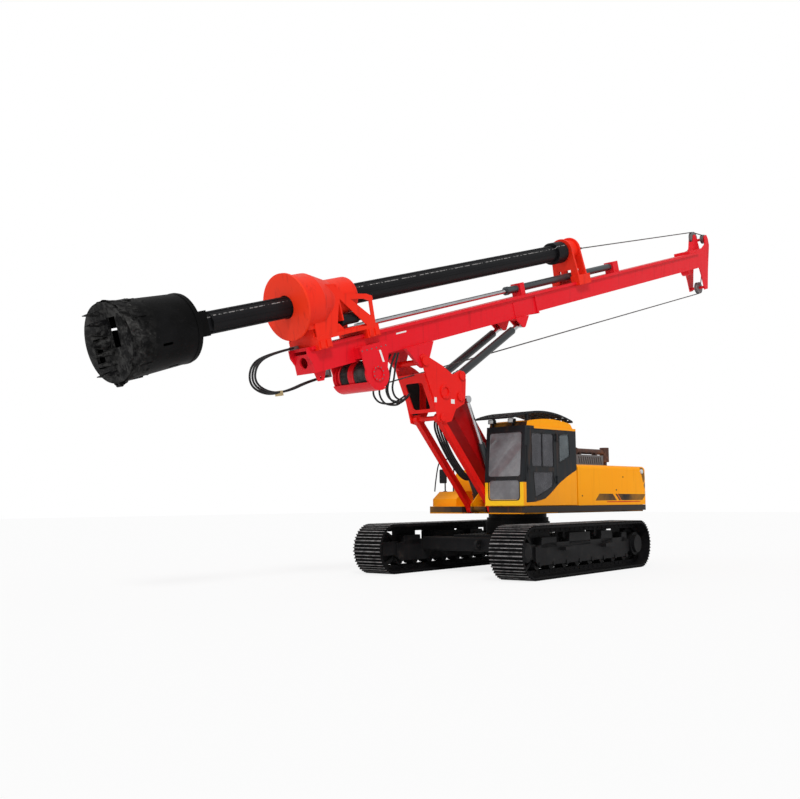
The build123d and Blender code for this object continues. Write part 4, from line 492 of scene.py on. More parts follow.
finishes = {
    "yellow": yellowPaint(),
    "cab": cabPaint(),
    "roof": roofPaint(),
    **{name: redPaint(name) for name in reds},
    "black": blackPaint("frame_black_paint"),
    "skirt": blackPaint("skirt_brown_black", (0.040, 0.031, 0.027), dust=0.15),
    "chassis": blackPaint("chassis_black", (0.007, 0.007, 0.008), dust=0.15, gloss=0.07, splash=0.15,
                          splashHigh=0.9),
    "wheels": blackPaint("wheel_black", (0.007, 0.007, 0.008), dust=0.1, gloss=0.07, chips=0.6),
    "trackLeft": trackSteel("left"),
    "trackRight": trackSteel("right"),
    "rod": rodSteel(),
    "bucket": bucketSteel("bucket_black", 1.0),
    "bottom": bucketSteel("bucket_bottom_black", 1.4),
    "chrome": chrome(),
    "steel": bareSteel(),
    "louvre": plain("louvre_grey", (0.13, 0.13, 0.135), 0.5, metal=0.2),
    "soil": drySoil(),
    "dark": plain("shadow_black", (0.006, 0.007, 0.006), 0.8),
    "rust": bareSteel("exhaust_rust", (0.09, 0.045, 0.035), 0.85),
    "cylinder": blackPaint("cylinder_dark_paint", (0.022, 0.027, 0.030), dust=0.15, rough=0.32, gloss=0.5),
    "slate": blackPaint("cylinder_slate_paint", (0.040, 0.055, 0.062), dust=0.15, rough=0.3, gloss=0.5),
    "trim": rubber("cab_trim_plastic", (0.035, 0.036, 0.04)),
    "rubber": rubber("hose_rubber"),
    "seal": rubber("window_seal", (0.007, 0.007, 0.008)),
    "rope": wireRope(),
    "windscreen": glass("windscreen_glass", (0.17, 0.17, 0.18), 0.80),
    "doorGlass": glass("door_glass", (0.050, 0.050, 0.058), 0.80),
    "quarterGlass": glass("quarter_glass", (0.10, 0.12, 0.13), 0.62),
    "sideGlass": glass("side_glass", (0.06, 0.07, 0.075), 0.70),
    "lens": plain("lamp_lens", (0.55, 0.58, 0.58), 0.2),
    "sticker": plain("blank_sticker", (0.85, 0.84, 0.82), 0.45),
    "brass": plain("hose_fitting", (0.55, 0.42, 0.22), 0.35, metal=0.8),
}

# the CAD nodes that wear each finish
wearing = {
    "trackLeft": "track_left",
    "trackRight": "track_right",
    "wheels": "idler_wheels drive_sprockets bottom_rollers carrier_rollers",
    "chassis": "track_frame_left track_frame_right car_body slew_bearing_lower",
    "black": "slew_bearing_upper roof_guard mirror_stay work_lights drive_motors",
    "yellow": "deck_frame counterweight left_body right_body engine_hood storage_box fuel_tank",
    "skirt": "deck_skirts",
    "steel": "engine_block hose_blocks head_pulley_front head_pulley_rear head_pulley_lower",
    "louvre": "hood_louvre_box",
    "cab": "cab_shell cab_door",
    "roof": "cab_roof",
    "trim": "cab_interior",
    "rubber": "cab_mounts hose_front_1 hose_front_2 hose_front_3",
    "rust": "exhaust_pipe",
    "boom": "boom",
    "rods": "support_rods",
    "triangle": "triangle_frame",
    "mast": "mast_lower mast_upper mast_head winch_frame crowd_mounts winch_drum",
    "cylinder": "boom_cylinder_barrels mast_cylinder_barrels",
    "slate": "crowd_barrel",
    "chrome": "boom_cylinder_rods mast_cylinder_rods crowd_rod",
    "drive": "drive_carriage rotary_casing rod_guide",
    "disc": "spoil_disc",
    "rod": "drill_rod",
    "bucket": "drill_bucket",
    "bottom": "bucket_bottom",
}
for finish, nodes in wearing.items():
    for node in nodes.split():
        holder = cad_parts[node]
        holder.data.materials.clear()
        holder.data.materials.append(finishes[finish].material)
print("finishes made")


def keep(name, made, finish, body, smooth=True):
    # turns what was built into a piece of the scene
    bmesh.ops.recalc_face_normals(made, faces=made.faces[:])
    mesh = bpy.data.meshes.new(name)
    made.to_mesh(mesh)
    made.free()
    piece = bpy.data.objects.new(name, mesh)
    bpy.context.scene.collection.objects.link(piece)
    mesh.materials.append(finishes[finish].material)
    if smooth:
        for face in mesh.polygons:
            face.use_smooth = True
        mesh.set_sharp_from_angle(angle=math.radians(38))
    if body:
        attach(piece, body)
    return piece


def skin(made, low, high):
    # faces between two rings of as many points
    for i in range(len(low)):
        j = (i + 1) % len(low)
        made.faces.new((low[i], low[j], high[j], high[i]))


def circle(centre, first, second, radius, count):
    turns = [2 * math.pi * i / count for i in range(count)]
    return [centre + (first * math.cos(turn) + second * math.sin(turn)) * radius for turn in turns]


def squareTo(axis):
    # two directions square to an axis and to each other
    first = axis.orthogonal().normalized()
    return first, axis.cross(first)


def addSlab(made, outline, normal, thickness):
    # a flat plate: outline points in space, thickened along its normal
    lower = [made.verts.new(point) for point in outline]
    upper = [made.verts.new(Vector(point) + Vector(normal) * thickness) for point in outline]
    made.faces.new(lower)
    made.faces.new(upper)
    skin(made, lower, upper)


def addLathe(made, centre, axis, profile, sides=24):
    # profile of (distance along the axis, radius), closed at its ends when a radius is 0
    axis = Vector(axis).normalized()
    first, second = squareTo(axis)
    rings = []
    for step, radius in profile:
        middle = Vector(centre) + axis * step
        points = circle(middle, first, second, radius, sides) if radius else [middle]
        rings.append([made.verts.new(point) for point in points])
    for low, high in zip(rings, rings[1:]):
        if len(low) == len(high):
            skin(made, low, high)
            continue
        for i in range(sides):
            j = (i + 1) % sides
            corners = (low[0], high[i], high[j]) if len(low) == 1 else (low[i], low[j], high[0])
            made.faces.new(corners)


def addBolt(made, spot, axis, size):
    # hexagon head on a washer
    washer = ((-0.002, size * 0.95), (size * 0.12, size * 0.95), (size * 0.14, 0))
    head = ((0, size * 0.62), (size * 0.62, size * 0.62), (size * 0.72, size * 0.5), (size * 0.72, 0))
    addLathe(made, spot, axis, washer, 12)
    addLathe(made, spot, axis, head, 6)


def smoothLine(points, divide=8):
    # a rounded line through a few given points
    points = [Vector(point) for point in points]
    ends = [points[0] * 2 - points[1]] + points + [points[-1] * 2 - points[-2]]
    line = []
    for p0, p1, p2, p3 in zip(ends, ends[1:], ends[2:], ends[3:]):
        for i in range(divide):
            t = i / divide
            line.append(0.5 * ((2 * p1) + (p2 - p0) * t + (2 * p0 - 5 * p1 + 4 * p2 - p3) * t * t
                               + (3 * p1 - p0 - 3 * p2 + p3) * t ** 3))
    line.append(points[-1])
    return line


def addTube(made, line, radius, sides=8):
    rings = []
    across = None
    for i, point in enumerate(line):
        ahead = line[min(i + 1, len(line) - 1)] - line[max(i - 1, 0)]
        ahead.normalize()
        if across is None:
            across = ahead.orthogonal().normalized()
        across = (across - ahead * across.dot(ahead)).normalized()
        ring = circle(point, across, ahead.cross(across), radius, sides)
        rings.append([made.verts.new(spot) for spot in ring])
    for low, high in zip(rings, rings[1:]):
        skin(made, low, high)
    made.faces.new(rings[0])
    made.faces.new(rings[-1])


def rounded(corners, radius, steps=4):
    # corners of a flat outline, each cut to an arc
    points = []
    for i, corner in enumerate(corners):
        here = Vector(corner)
        back = Vector(corners[i - 1]) - here
        ahead = Vector(corners[(i + 1) % len(corners)]) - here
        reach = min(radius, back.length * 0.45, ahead.length * 0.45)
        start = here + back.normalized() * reach
        end = here + ahead.normalized() * reach
        for k in range(steps + 1):
            t = k / steps
            points.append(start * (1 - t) ** 2 + here * 2 * t * (1 - t) + end * t * t)
    return points


def pane(name, corners, outward, finish, body, radius, seal):
    # one sheet of glass in its window, with the rubber seal that holds it
    outward = Vector(outward)
    outline = rounded(corners, radius)
    made = bmesh.new()
    addSlab(made, [point - outward * panes["inset"] for point in outline], outward, panes["thick"])
    keep(name, made, finish, body, smooth=False)
    made = bmesh.new()
    middle = sum(outline, Vector()) / len(outline)
    inner = [point + (middle - point).normalized() * seal for point in outline]
    low, high = outward * -panes["sealBack"], outward * panes["proud"]
    rings = [[made.verts.new(point + step) for point in ring]
             for ring, step in ((outline, low), (outline, high), (inner, high), (inner, low))]
    for ring, after in zip(rings, rings[1:] + rings[:1]):
        skin(made, ring, after)
    keep(name + "_seal", made, "seal", body)


def upright(y, low, high):
    # a rectangle along the machine, from its lower and its upper corner in x and z
    return [(low[0], y, low[1]), (high[0], y, low[1]), (high[0], y, high[1]), (low[0], y, high[1])]


def crosswise(near, far, low, high):
    # a rectangle from side to side, with x and z of its lower and of its upper edge
    return [(low[0], near, low[1]), (low[0], far, low[1]), (high[0], far, high[1]), (high[0], near, high[1])]


panes = {
    "inset": 0.018, "thick": 0.006, "sealBack": 0.022, "proud": 0.004,
    "leftY": 1.400, "rightY": 0.385,
    "left": Vector((0, 1, 0)),
    "slope": Vector((1.060, 0, 0.096)).normalized(),
}


def cabPanes():
    y, left = panes["leftY"], panes["left"]
    lower = [(x, y, z) for x, z in ((0.518, 2.137), (1.263, 2.125), (1.20, 1.57), (0.546, 1.81))]
    quarter = [(x, y, z) for x, z in ((0.326, 2.30), (0.326, 2.95), (-0.062, 2.99), (-0.11, 2.45))]
    for name, corners, outward, finish, body, radius, seal in (
            ("door_pane_front", upright(y, (0.925, 2.22), (1.30, 2.95)),
             left, "doorGlass", "door", 0.04, 0.022),
            ("door_pane_rear", upright(y, (0.511, 2.22), (0.925, 2.95)),
             left, "doorGlass", "door", 0.04, 0.022),
            ("door_pane_lower", lower, left, "doorGlass", "door", 0.05, 0.025),
            ("quarter_pane", quarter, left, "quarterGlass", "upper", 0.06, 0.035),
            ("windscreen", crosswise(0.435, 1.345, (1.600, 2.005), (1.514, 2.97)),
             panes["slope"], "windscreen", "upper", 0.07, 0.03),
            ("windscreen_lower", crosswise(0.47, 1.31, (1.6, 1.525), (1.6, 1.985)),
             (1, 0, 0), "windscreen", "upper", 0.09, 0.025),
            ("right_pane", upright(panes["rightY"], (-0.16, 2.07), (1.40, 2.97)),
             (0, -1, 0), "sideGlass", "upper", 0.07, 0.03),
            ("rear_pane", crosswise(0.49, 1.295, (-0.32, 2.40), (-0.32, 2.96)),
             (-1, 0, 0), "sideGlass", "upper", 0.07, 0.03)):
        pane(name, corners, outward, finish, body, radius, seal)


cabPanes()
print("glass set")


# the hoses' path in a and b, and for each hose its number, its lane across and how far it nests inward
hoseLoop = {
    "diameter": 0.040,
    "lengths": (3.15, 3.09, 3.04),
    "route": ((-2.85, 0.853), (-3.35, 0.853), (-3.80, 0.765), (-3.955, 0.410), (-3.65, 0.150),
              (-3.15, 0.115), (-2.62, 0.190), (-2.15, 0.190)),
    "rows": ((1, -0.23, 0.0), (2, -0.18, 0.025), (3, -0.13, 0.048)),
    "nest": {"from": -3.6, "share": 0.4, "middle": 0.5},
    "ferrule": ((-0.01, 0.0), (-0.01, 0.026), (0.0, 0.026)),
    "clamp": ((-3.40, 0.075), (-3.34, 0.070), (-3.34, 0.165), (-3.40, 0.170)),
    "clampY": -0.262,
    "clampWide": 0.164,
}


def frontHoses():
    nest = hoseLoop["nest"]
    for number, y, tuck in hoseLoop["rows"]:
        data = bpy.data.curves.new("front_hose_" + str(number), "CURVE")
        data.dimensions = "3D"
        data.bevel_depth = hoseLoop["diameter"] / 2
        data.bevel_resolution = 4
        data.resolution_u = 16
        data.use_fill_caps = True
        spline = data.splines.new("NURBS")
        spline.points.add(len(hoseLoop["route"]) - 1)
        for point, (a, b) in zip(spline.points, hoseLoop["route"]):
            inward = tuck if a < nest["from"] else 0.0  # the loops nest inside each other
            side = nest["share"] if b < nest["middle"] else -nest["share"]
            point.co = (*onMast(a + inward, b + inward * side, y), 1)
        spline.order_u = 3
        spline.use_endpoint_u = True
        hose = bpy.data.objects.new("front_hose_" + str(number), data)
        bpy.context.scene.collection.objects.link(hose)
        data.materials.append(finishes["rubber"].material)
        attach(hose, "mast")
        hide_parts("hose_front_" + str(number))
    made = bmesh.new()
    for number, y, tuck in hoseLoop["rows"]:
        for end, out in ((0, -mastRun), (-1, mastRun)):
            addLathe(made, onMast(*hoseLoop["route"][end], y), out, hoseLoop["ferrule"], 6)
    clamp = [onMast(a, b, hoseLoop["clampY"]) for a, b in hoseLoop["clamp"]]
    addSlab(made, clamp, (0, 1, 0), hoseLoop["clampWide"])
    keep("hose_ferrules", made, "brass", "mast")


frontHoses()
print("hose loop laid")


# a wheel is its a, its b and the radius that the rope runs on; an arc is its two angles, lane and steps
ropes = {
    "radius": 0.014,
    "front": (13.10, 1.245, 0.173),
    "rear": (13.44, 1.150, 0.123),
    "low": (12.89, -0.23, 0.163),
    "arcs": (("low", -91, 12, 0.0, 8), ("rear", 10, 100, 0.145, 8), ("front", 75, 91.5, 0.0, 3)),
    "drumA": -1.46,
    "drumY": 0.10,
    "swivelA": 6.815,
    "socket": ((0, 0.0), (0, 0.03), (0.16, 0.026), (0.2, 0.015), (0.2, 0)),
    "cuts": 12,
}
drum = {
    "packs": ((-0.322, -0.075), (0.075, 0.427)),
    "pitch": 0.029,
    "core": 0.244,
    "coil": ((0.1, 0.262), (0.5, 0.276), (0.9, 0.262)),
    "leave": 0.262,
    "rib": ((-0.073, 0.246), (-0.073, 0.286), (0.073, 0.286), (0.073, 0.246)),
    "guard": {"outer": 0.322, "inner": 0.304, "start": -160, "step": 9.0, "count": 10, "y": -0.505,
              "wide": 1.01},
}


def arcPoints(wheel, start, end, y, steps):
    a, b, radius = ropes[wheel]
    points = []
    for i in range(steps + 1):
        turn = math.radians(start + (end - start) * i / steps)
        points.append(onMast(a + math.cos(turn) * radius, b + math.sin(turn) * radius, y))
    return points


def runRopes():
    drumA, drumB = mast["drum"]
    made = bmesh.new()
    line = [onMast(ropes["drumA"], drumB - drum["leave"], ropes["drumY"])]
    for arc in ropes["arcs"]:
        line += arcPoints(*arc)
    addTube(made, line, ropes["radius"])
    keep("winch_rope", made, "rope", "mast")
    # the hoist rope, in a mesh of its own; on the machine it shortens as the drive climbs
    made = bmesh.new()
    a, b, radius = ropes["front"]
    top = onMast(a, b + radius)
    foot = onMast(ropes["swivelA"], mast["rodB"])
    cuts = ropes["cuts"]
    addTube(made, [foot.lerp(top, i / cuts) for i in range(cuts + 1)], ropes["radius"])
    addLathe(made, foot.lerp(top, 0.01), top - foot, ropes["socket"], 12)
    rope = keep("hoist_rope", made, "rope", "mast")
    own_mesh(rope)


def dressDrum():
    # two packs of rope, the rib between them and the curved guard over the drum
    drumA, drumB = mast["drum"]
    made = bmesh.new()
    for low, high in drum["packs"]:
        turns = round((high - low) / drum["pitch"])
        profile = [(low, drum["core"])]
        for i in range(turns):
            for part, radius in drum["coil"]:
                profile.append((low + (i + part) * (high - low) / turns, radius))
        profile.append((high, drum["core"]))
        addLathe(made, onMast(drumA, drumB), (0, 1, 0), profile, 40)
    keep("rope_packs", made, "rope", "winch_drum")
    made = bmesh.new()
    addLathe(made, onMast(drumA, drumB), (0, 1, 0), drum["rib"], 48)
    keep("drum_rib", made, "mast", "winch_drum", smooth=False)
    guard = drum["guard"]
    outer, inner = guard["outer"], guard["inner"]
    made = bmesh.new()
    for i in range(guard["count"]):
        low, high = (math.radians(guard["start"] + (i + step) * guard["step"]) for step in (0, 1))
        outline = []
        for turn, r in ((low, outer), (high, outer), (high, inner), (low, inner)):
            outline.append(onMast(drumA + math.cos(turn) * r, drumB + math.sin(turn) * r, guard["y"]))
        addSlab(made, outline, (0, 1, 0), guard["wide"])
    keep("drum_guard", made, "mast", "mast", smooth=False)


runRopes()
dressDrum()
print("ropes run")


# the drilling bucket along the mast's a, with its band, its wear bars and the soil round its mouth
bucket = {
    "foot": -6.56, "top": -5.215, "radius": 0.635, "topRadius": 0.580, "lip": -6.39,
    "band": (-5.30, -5.25), "bandDepth": (-0.004, 0.008),
    "bars": {"count": 9, "start": 18, "step": 40, "half": 0.05, "long": 0.22, "sunk": 0.006, "thick": 0.016},
    "crust": {
        "mouth": -6.545, "reach": 0.62, "rings": 18, "spokes": 96, "lip": 0.004,
        "lumps": ((5.0, 1.0), (14.0, 0.6), (33.0, 0.3)), "lift": 0.30, "fall": 1.05,
        "rise": 0.030, "sink": -0.012, "bare": -0.002,
    },
}


def bucketRadius(a):
    share = (a - bucket["foot"]) / (bucket["top"] - bucket["foot"])
    return bucket["radius"] + (bucket["topRadius"] - bucket["radius"]) * share


def wearBars():
    made = bmesh.new()
    low, high = bucket["band"]
    inner, outer = (bucketRadius(low) + depth for depth in bucket["bandDepth"])
    addLathe(made, onMast(low, mast["rodB"]), mastRun,
             ((0, inner), (0, outer), (high - low, outer), (high - low, inner)), 64)
    bars = bucket["bars"]
    rise = mastRun * bars["long"]
    for i in range(bars["count"]):
        turn = math.radians(bars["start"] + i * bars["step"])
        out = mastOut * math.cos(turn) + sideways * math.sin(turn)
        side = (sideways * math.cos(turn) - mastOut * math.sin(turn)) * bars["half"]
        base = onMast(bucket["lip"], mast["rodB"]) + out * (bucketRadius(bucket["lip"]) - bars["sunk"])
        addSlab(made, [base - side, base + side, base + side + rise, base - side + rise], out, bars["thick"])
    keep("bucket_wear_bars", made, "bucket", "drill", smooth=False)


def soilCrust():
    # lumps of noise on the wall, left out where they sink below it
    crust = bucket["crust"]
    made = bmesh.new()
    rows = []
    for ring in range(crust["rings"] + 1):
        share = ring / crust["rings"]
        a = crust["mouth"] + share * crust["reach"]
        radius = bucketRadius(a) + (crust["lip"] if a < bucket["lip"] else 0)
        row = []
        for spoke in range(crust["spokes"]):
            turn = 2 * math.pi * spoke / crust["spokes"]
            out = mastOut * math.cos(turn) + sideways * math.sin(turn)
            spot = onMast(a, mast["rodB"]) + out * radius
            lump = sum(noise.noise(spot * scale) * weight for scale, weight in crust["lumps"])
            rise = (lump + crust["lift"] - share * crust["fall"]) * crust["rise"]
            rise = max(crust["sink"], min(rise, crust["rise"]))
            row.append((made.verts.new(spot + out * rise), rise))
        rows.append(row)
    for low, high in zip(rows, rows[1:]):
        for i in range(len(low)):
            j = (i + 1) % len(low)
            corners = (low[i], low[j], high[j], high[i])
            if max(rise for vert, rise in corners) > crust["bare"]:
                made.faces.new([vert for vert, rise in corners])
    loose = [vert for vert in made.verts if not vert.link_faces]
    bmesh.ops.delete(made, geom=loose, context="VERTS")
    keep("bucket_crust", made, "soil", "drill")


wearBars()
soilCrust()
print("bucket dressed")


# the full length of the cylinders' rods, which rests inside the barrels; foot and eye are x and z
cylinders = {
    "lift": {"foot": (2.320, 4.130), "eye": (0.122, 5.524), "lane": 0.276, "radius": 0.0545,
             "from": 0.60, "to": 2.10},
    "luff": {"foot": (1.030, 1.580), "eye": (2.050, 3.660), "lane": 0.300, "radius": 0.0415,
             "from": 0.42, "to": 1.16},
}


def innerRods():
    for name, rod in cylinders.items():
        foot, eye = (Vector((spot[0], 0, spot[1])) for spot in (rod["foot"], rod["eye"]))
        run = (eye - foot).normalized()
        reach = rod["to"] - rod["from"]
        made = bmesh.new()
        for y in (rod["lane"], -rod["lane"]):
            start = foot + run * rod["from"] + sideways * y
            addLathe(made, start, run, ((0, 0), (0, rod["radius"]), (reach, rod["radius"]), (reach, 0)), 28)
        keep(name + "_inner_rods", made, "chrome", name + "_rods")


innerRods()
print("inner rods added")


bundles = {
    "radius": 0.019,
    # each hose's spread, lane across and drop
    "hoses": ((0.0, 0.30, 0.00), (0.06, 0.24, 0.05), (0.13, 0.30, 0.02), (0.20, 0.20, 0.07),
              (0.26, 0.12, 0.03)),
    # a and how much the spread takes off it, b and the drop in the same way, and the share of the lane
    "path": ((-0.60, 0.6, 0.30, 0, 1), (-0.74, 1, 0.10, 0, 1), (-0.86, 1.3, -0.14, 0, 1),
             (-0.97, 1.4, -0.34, 0.5, 1), (-0.94, 1.1, -0.52, 1, 1), (-0.78, 0.5, -0.62, 1, 1),
             (-0.62, 0.2, -0.60, 1, 0.9), (-0.44, 0, -0.56, 1, 0.7)),
    "boomRadius": 0.022,
    "boomLanes": (-0.10, -0.04, 0.02, 0.08),
    # x and the step per hose, z, and the share of the lane
    "boomPath": ((2.60, 0, 3.30, 1), (2.62, 0.012, 3.02, 1), (2.38, 0, 2.62, 1), (2.05, 0, 2.24, 1),
                 (1.72, 0, 2.00, 1), (1.40, 0, 2.00, 0.9)),
}
# painted shade inside the triangle frame: dark sheets at its sides and at its back
shadeSheets = {
    "side": ((3.05, 3.36), (3.40, 4.06), (2.98, 4.20), (2.80, 3.95), (2.80, 3.40), (2.95, 3.24)),
    "lanes": (-0.369, 0.365),
    "thick": 0.004,
    "back": ((2.62, 3.44), (2.62, 4.06)),
    "half": 0.35,
    "backThick": 0.01,
}


def hoseBundles():
    # from the mast's underside down in a loose bow and back into the triangle frame's open front
    made = bmesh.new()
    for spread, y, drop in bundles["hoses"]:
        line = [onMast(a - spread * wide, b - drop * sag, y * share)
                for a, wide, b, sag, share in bundles["path"]]
        addTube(made, smoothLine(line, 6), bundles["radius"])
    rear = keep("rear_hose_bundle", made, "rubber", None)
    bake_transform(rear)
    # painted shade: dark sheets inside the frame, seen through its open front, stand in for the shade in
    # there
    made = bmesh.new()
    for y in shadeSheets["lanes"]:
        addSlab(made, [(x, y, z) for x, z in shadeSheets["side"]], (0, 1, 0), shadeSheets["thick"])
    addSlab(made, crosswise(-shadeSheets["half"], shadeSheets["half"], *shadeSheets["back"]), (-1, 0, 0), shadeSheets["backThick"])
    keep("frame_shade_sheets", made, "dark", "triangle", smooth=False)
    # thick hoses from the boom's head down to the deck, between the support rods
    made = bmesh.new()
    for i, y in enumerate(bundles["boomLanes"]):
        line = [Vector((x - i * step, y * share, z)) for x, step, z, share in bundles["boomPath"]]
        addTube(made, smoothLine(line, 6), bundles["boomRadius"])
    front = keep("boom_hose_bundle", made, "rubber", None)
    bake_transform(front)


hoseBundles()
print("hose bundles laid")


straight = 2 * track["halfRun"]
bend = math.pi * track["chain"]
pitch = 2 * (straight + bend) / track["shoes"]


def loopPoint(s, r):
    # x and z at the length s round the chain, r away from the wheels' centre line
    half, centre, chain = (track[key] for key in ("halfRun", "centreZ", "chain"))
    s = s % (2 * (straight + bend))
    if s < straight:
        return (-half + s, centre - r)
    s -= straight
    if s < bend:
        return (half + r * math.sin(s / chain), centre - r * math.cos(s / chain))
    s -= bend
    if s < straight:
        return (half - s, centre + r)
    turn = (s - straight) / chain
    return (-half - r * math.sin(turn), centre + r * math.cos(turn))


def onTrack(x, y, z):
    turn = math.radians(track["turn"])
    fore, aside = math.cos(turn), math.sin(turn)
    cx, cy = track["centre"]
    return Vector((cx + x * fore - y * aside, cy + x * aside + y * fore, z))


def cap(radius, height, bevel=0.002):
    return ((0, radius), (height, radius - bevel), (height, 0))


# places along a shoe are shares of the pitch, and lanes are measured from the track's middle
shoe = {
    "ribs": (0.553, 0.867),
    "ribHalf": 0.365,
    "section": ((-0.065, 0.4915), (-0.035, 0.527), (0.035, 0.527), (0.065, 0.4915)),
    "bolts": ((0.40, -0.07), (0.40, 0.07), (0.71, -0.07), (0.71, 0.07)),
    "boltReach": (0.492, 0.50),
    "boltCap": cap(0.016, 0.012),
    "pin": (0.02, 0.404),
    "pinLanes": (0.0995, 0.2),
    "pinCap": cap(0.026, 0.010),
}
# low end, high end, top, how much the top is shorter, lane and thickness
frameCovers = (
    (-1.27, -0.72, 0.862, 0.02, -0.17, 0.36), (-0.22, 0.72, 0.862, 0.02, -0.17, 0.36),
    (1.24, 1.86, 0.80, 0.02, -0.17, 0.36), (-2.0, -1.72, 0.80, 0.02, -0.17, 0.36),
    (-2.02, -1.60, 0.922, 0, -0.008, 0.016), (-1.36, -0.60, 0.922, 0, -0.008, 0.016),
    (-0.34, 0.95, 0.922, 0, -0.008, 0.016), (1.20, 2.02, 0.922, 0, -0.008, 0.016),
)
coverFoot = 0.60


def dressTracks():
    # two more ribs on every shoe, shoe bolts and the chain's pins
    outward = onTrack(0, 1, 0) - onTrack(0, 0, 0)
    for side, name in ((1, "left"), (-1, "right")):
        middle = side * track["gauge"] / 2
        finish = "track" + name.capitalize()
        ribs, bolts, covers = bmesh.new(), bmesh.new(), bmesh.new()
        for number in range(track["shoes"]):
            for share in shoe["ribs"]:
                ends = []
                for y in (middle - shoe["ribHalf"], middle + shoe["ribHalf"]):
                    corners = [loopPoint((number + (share + part)) * pitch, r) for part, r in shoe["section"]]
                    ends.append([ribs.verts.new(onTrack(x, y, z)) for x, z in corners])
                skin(ribs, *ends)
                ribs.faces.new(ends[0])
                ribs.faces.new(ends[1])
            for share, lane in shoe["bolts"]:
                (x, z), (x2, z2) = (loopPoint((number + share) * pitch, r) for r in shoe["boltReach"])
                spot = onTrack(x, middle + lane, z)
                addLathe(bolts, spot, onTrack(x2, middle + lane, z2) - spot, shoe["boltCap"], 6)
            share, r = shoe["pin"]
            x, z = loopPoint((number + share) * pitch, r)
            for face in (-1, 1):
                spot, out = (onTrack(x, middle + face * lane, z) for lane in shoe["pinLanes"])
                addLathe(bolts, spot, out - spot, shoe["pinCap"], 8)
        # raised covers on the frame between the carrier rollers, and thin plates under the chain
        for low, high, top, shorter, lane, thick in frameCovers:
            outline = [onTrack(x, middle + lane, z) for x, z in (
                (low, coverFoot), (high, coverFoot), (high - shorter, top), (low + shorter, top))]
            addSlab(covers, outline, outward, thick)
        keep("track_ribs_" + name, ribs, finish, "undercarriage", smooth=False)
        keep("track_bolts_" + name, bolts, finish, "undercarriage", smooth=False)
        keep("frame_covers_" + name, covers, "chassis", "undercarriage", smooth=False)


dressTracks()
print("tracks dressed")


def boltRing(made, centre, axis, radius, count, size):
    axis = Vector(axis).normalized()
    for spot in circle(Vector(centre), *squareTo(axis), radius, count):
        addBolt(made, spot, axis, size)


def boltRow(made, start, end, count, axis, size):
    for i in range(count):
        addBolt(made, start.lerp(end, i / (count - 1)), axis, size)


# pins are x, z and radius; a ring of bolts ends in its radius, count and the bolts' size
fixings = {
    "casing": (-1.38, 0.30, 16, 0.016),
    "winch": (0.504, 0.13, 10, 0.014),
    "row": {"a": (-1.74, -1.09), "b": 0.52, "y": 0.48, "count": 6, "size": 0.016},
    "pins": ((3.45, 4.33, 0.075), (2.38, 3.69, 0.075), (2.32, 4.13, 0.075), (2.94, 3.22, 0.06)),
    "pinY": (0.42, 0.434),
    "plate": (2.85, 0.425, 3.76, 0.122, 8, 0.011),
    "hubY": (0.139, 0.172),
    "hub": ((0, 0.2), (0.03, 0.19), (0.05, 0.12), (0.05, 0)),
    "latches": ((-0.52, 1.62), (-1.90, 1.75), (-2.20, 2.05)),
    "lamp": ((0, 0.055), (0.025, 0.05), (0.03, 0.03), (0.03, 0)),
    "handle": (((1.36, 2.17), (1.44, 2.20), 1.401, 0.022), ((1.355, 2.10), (1.45, 2.26), 1.4, 0.008)),
    "workLamps": {"lanes": (0.5225, 1.0525), "half": 0.06, "low": (1.529, 3.159), "high": (1.529, 3.225)},
}
rails = {
    "right_handrail": (0.014, [(0.62, -1.37, 1.742), (0.62, -1.37, 2.44), (0.95, -1.37, 2.46),
                               (1.16, -1.33, 2.36), (1.26, -1.33, 2.0), (1.27, -1.36, 1.742)]),
    "cab_handrail": (0.010, [(1.53, 1.402, 1.95), (1.55, 1.428, 1.97), (1.53, 1.428, 2.30),
                             (1.50, 1.428, 2.62), (1.49, 1.402, 2.65)]),
}


def mastFittings():
    drumA, drumB = mast["drum"]
    row = fixings["row"]
    face, *ring = fixings["winch"]
    made = bmesh.new()
    for side in (1, -1):
        boltRing(made, onMast(drumA, drumB, side * face), sideways * side, *ring)
        start, end = (onMast(a, row["b"], side * row["y"]) for a in row["a"])
        boltRow(made, start, end, row["count"], sideways * side, row["size"])
    keep("mast_bolts", made, "steel", "mast", smooth=False)
    made = bmesh.new()
    a, *ring = fixings["casing"]
    boltRing(made, onMast(a, mast["rodB"]), mastRun, *ring)
    keep("casing_bolts", made, "steel", "drive", smooth=False)
    # triangle frame: pin caps with their keeper bolts
    made = bmesh.new()
    for side in (1, -1):
        face = sideways * side
        low, high = (side * y for y in fixings["pinY"])
        for x, z, radius in fixings["pins"]:
            addLathe(made, (x, low, z), face, cap(radius + 0.02, 0.014, 0.006), 20)
            boltRing(made, (x, high, z), face, radius - 0.02, 4, 0.010)
        x, y, z, *ring = fixings["plate"]
        boltRing(made, (x, side * y, z), face, *ring)
    keep("frame_pins", made, "triangle", "triangle", smooth=False)


def hubCaps():
    made = bmesh.new()
    for side in (1, -1):
        out = onTrack(0, side, 0) - onTrack(0, 0, 0)
        middle = side * track["gauge"] / 2
        for x in (-track["halfRun"], track["halfRun"]):
            face, ring = (onTrack(x, middle + side * y, track["centreZ"]) for y in fixings["hubY"])
            addLathe(made, face, out, fixings["hub"], 28)
            boltRing(made, ring, out, 0.155, 12, 0.013)
    keep("hub_caps", made, "wheels", "undercarriage", smooth=False)


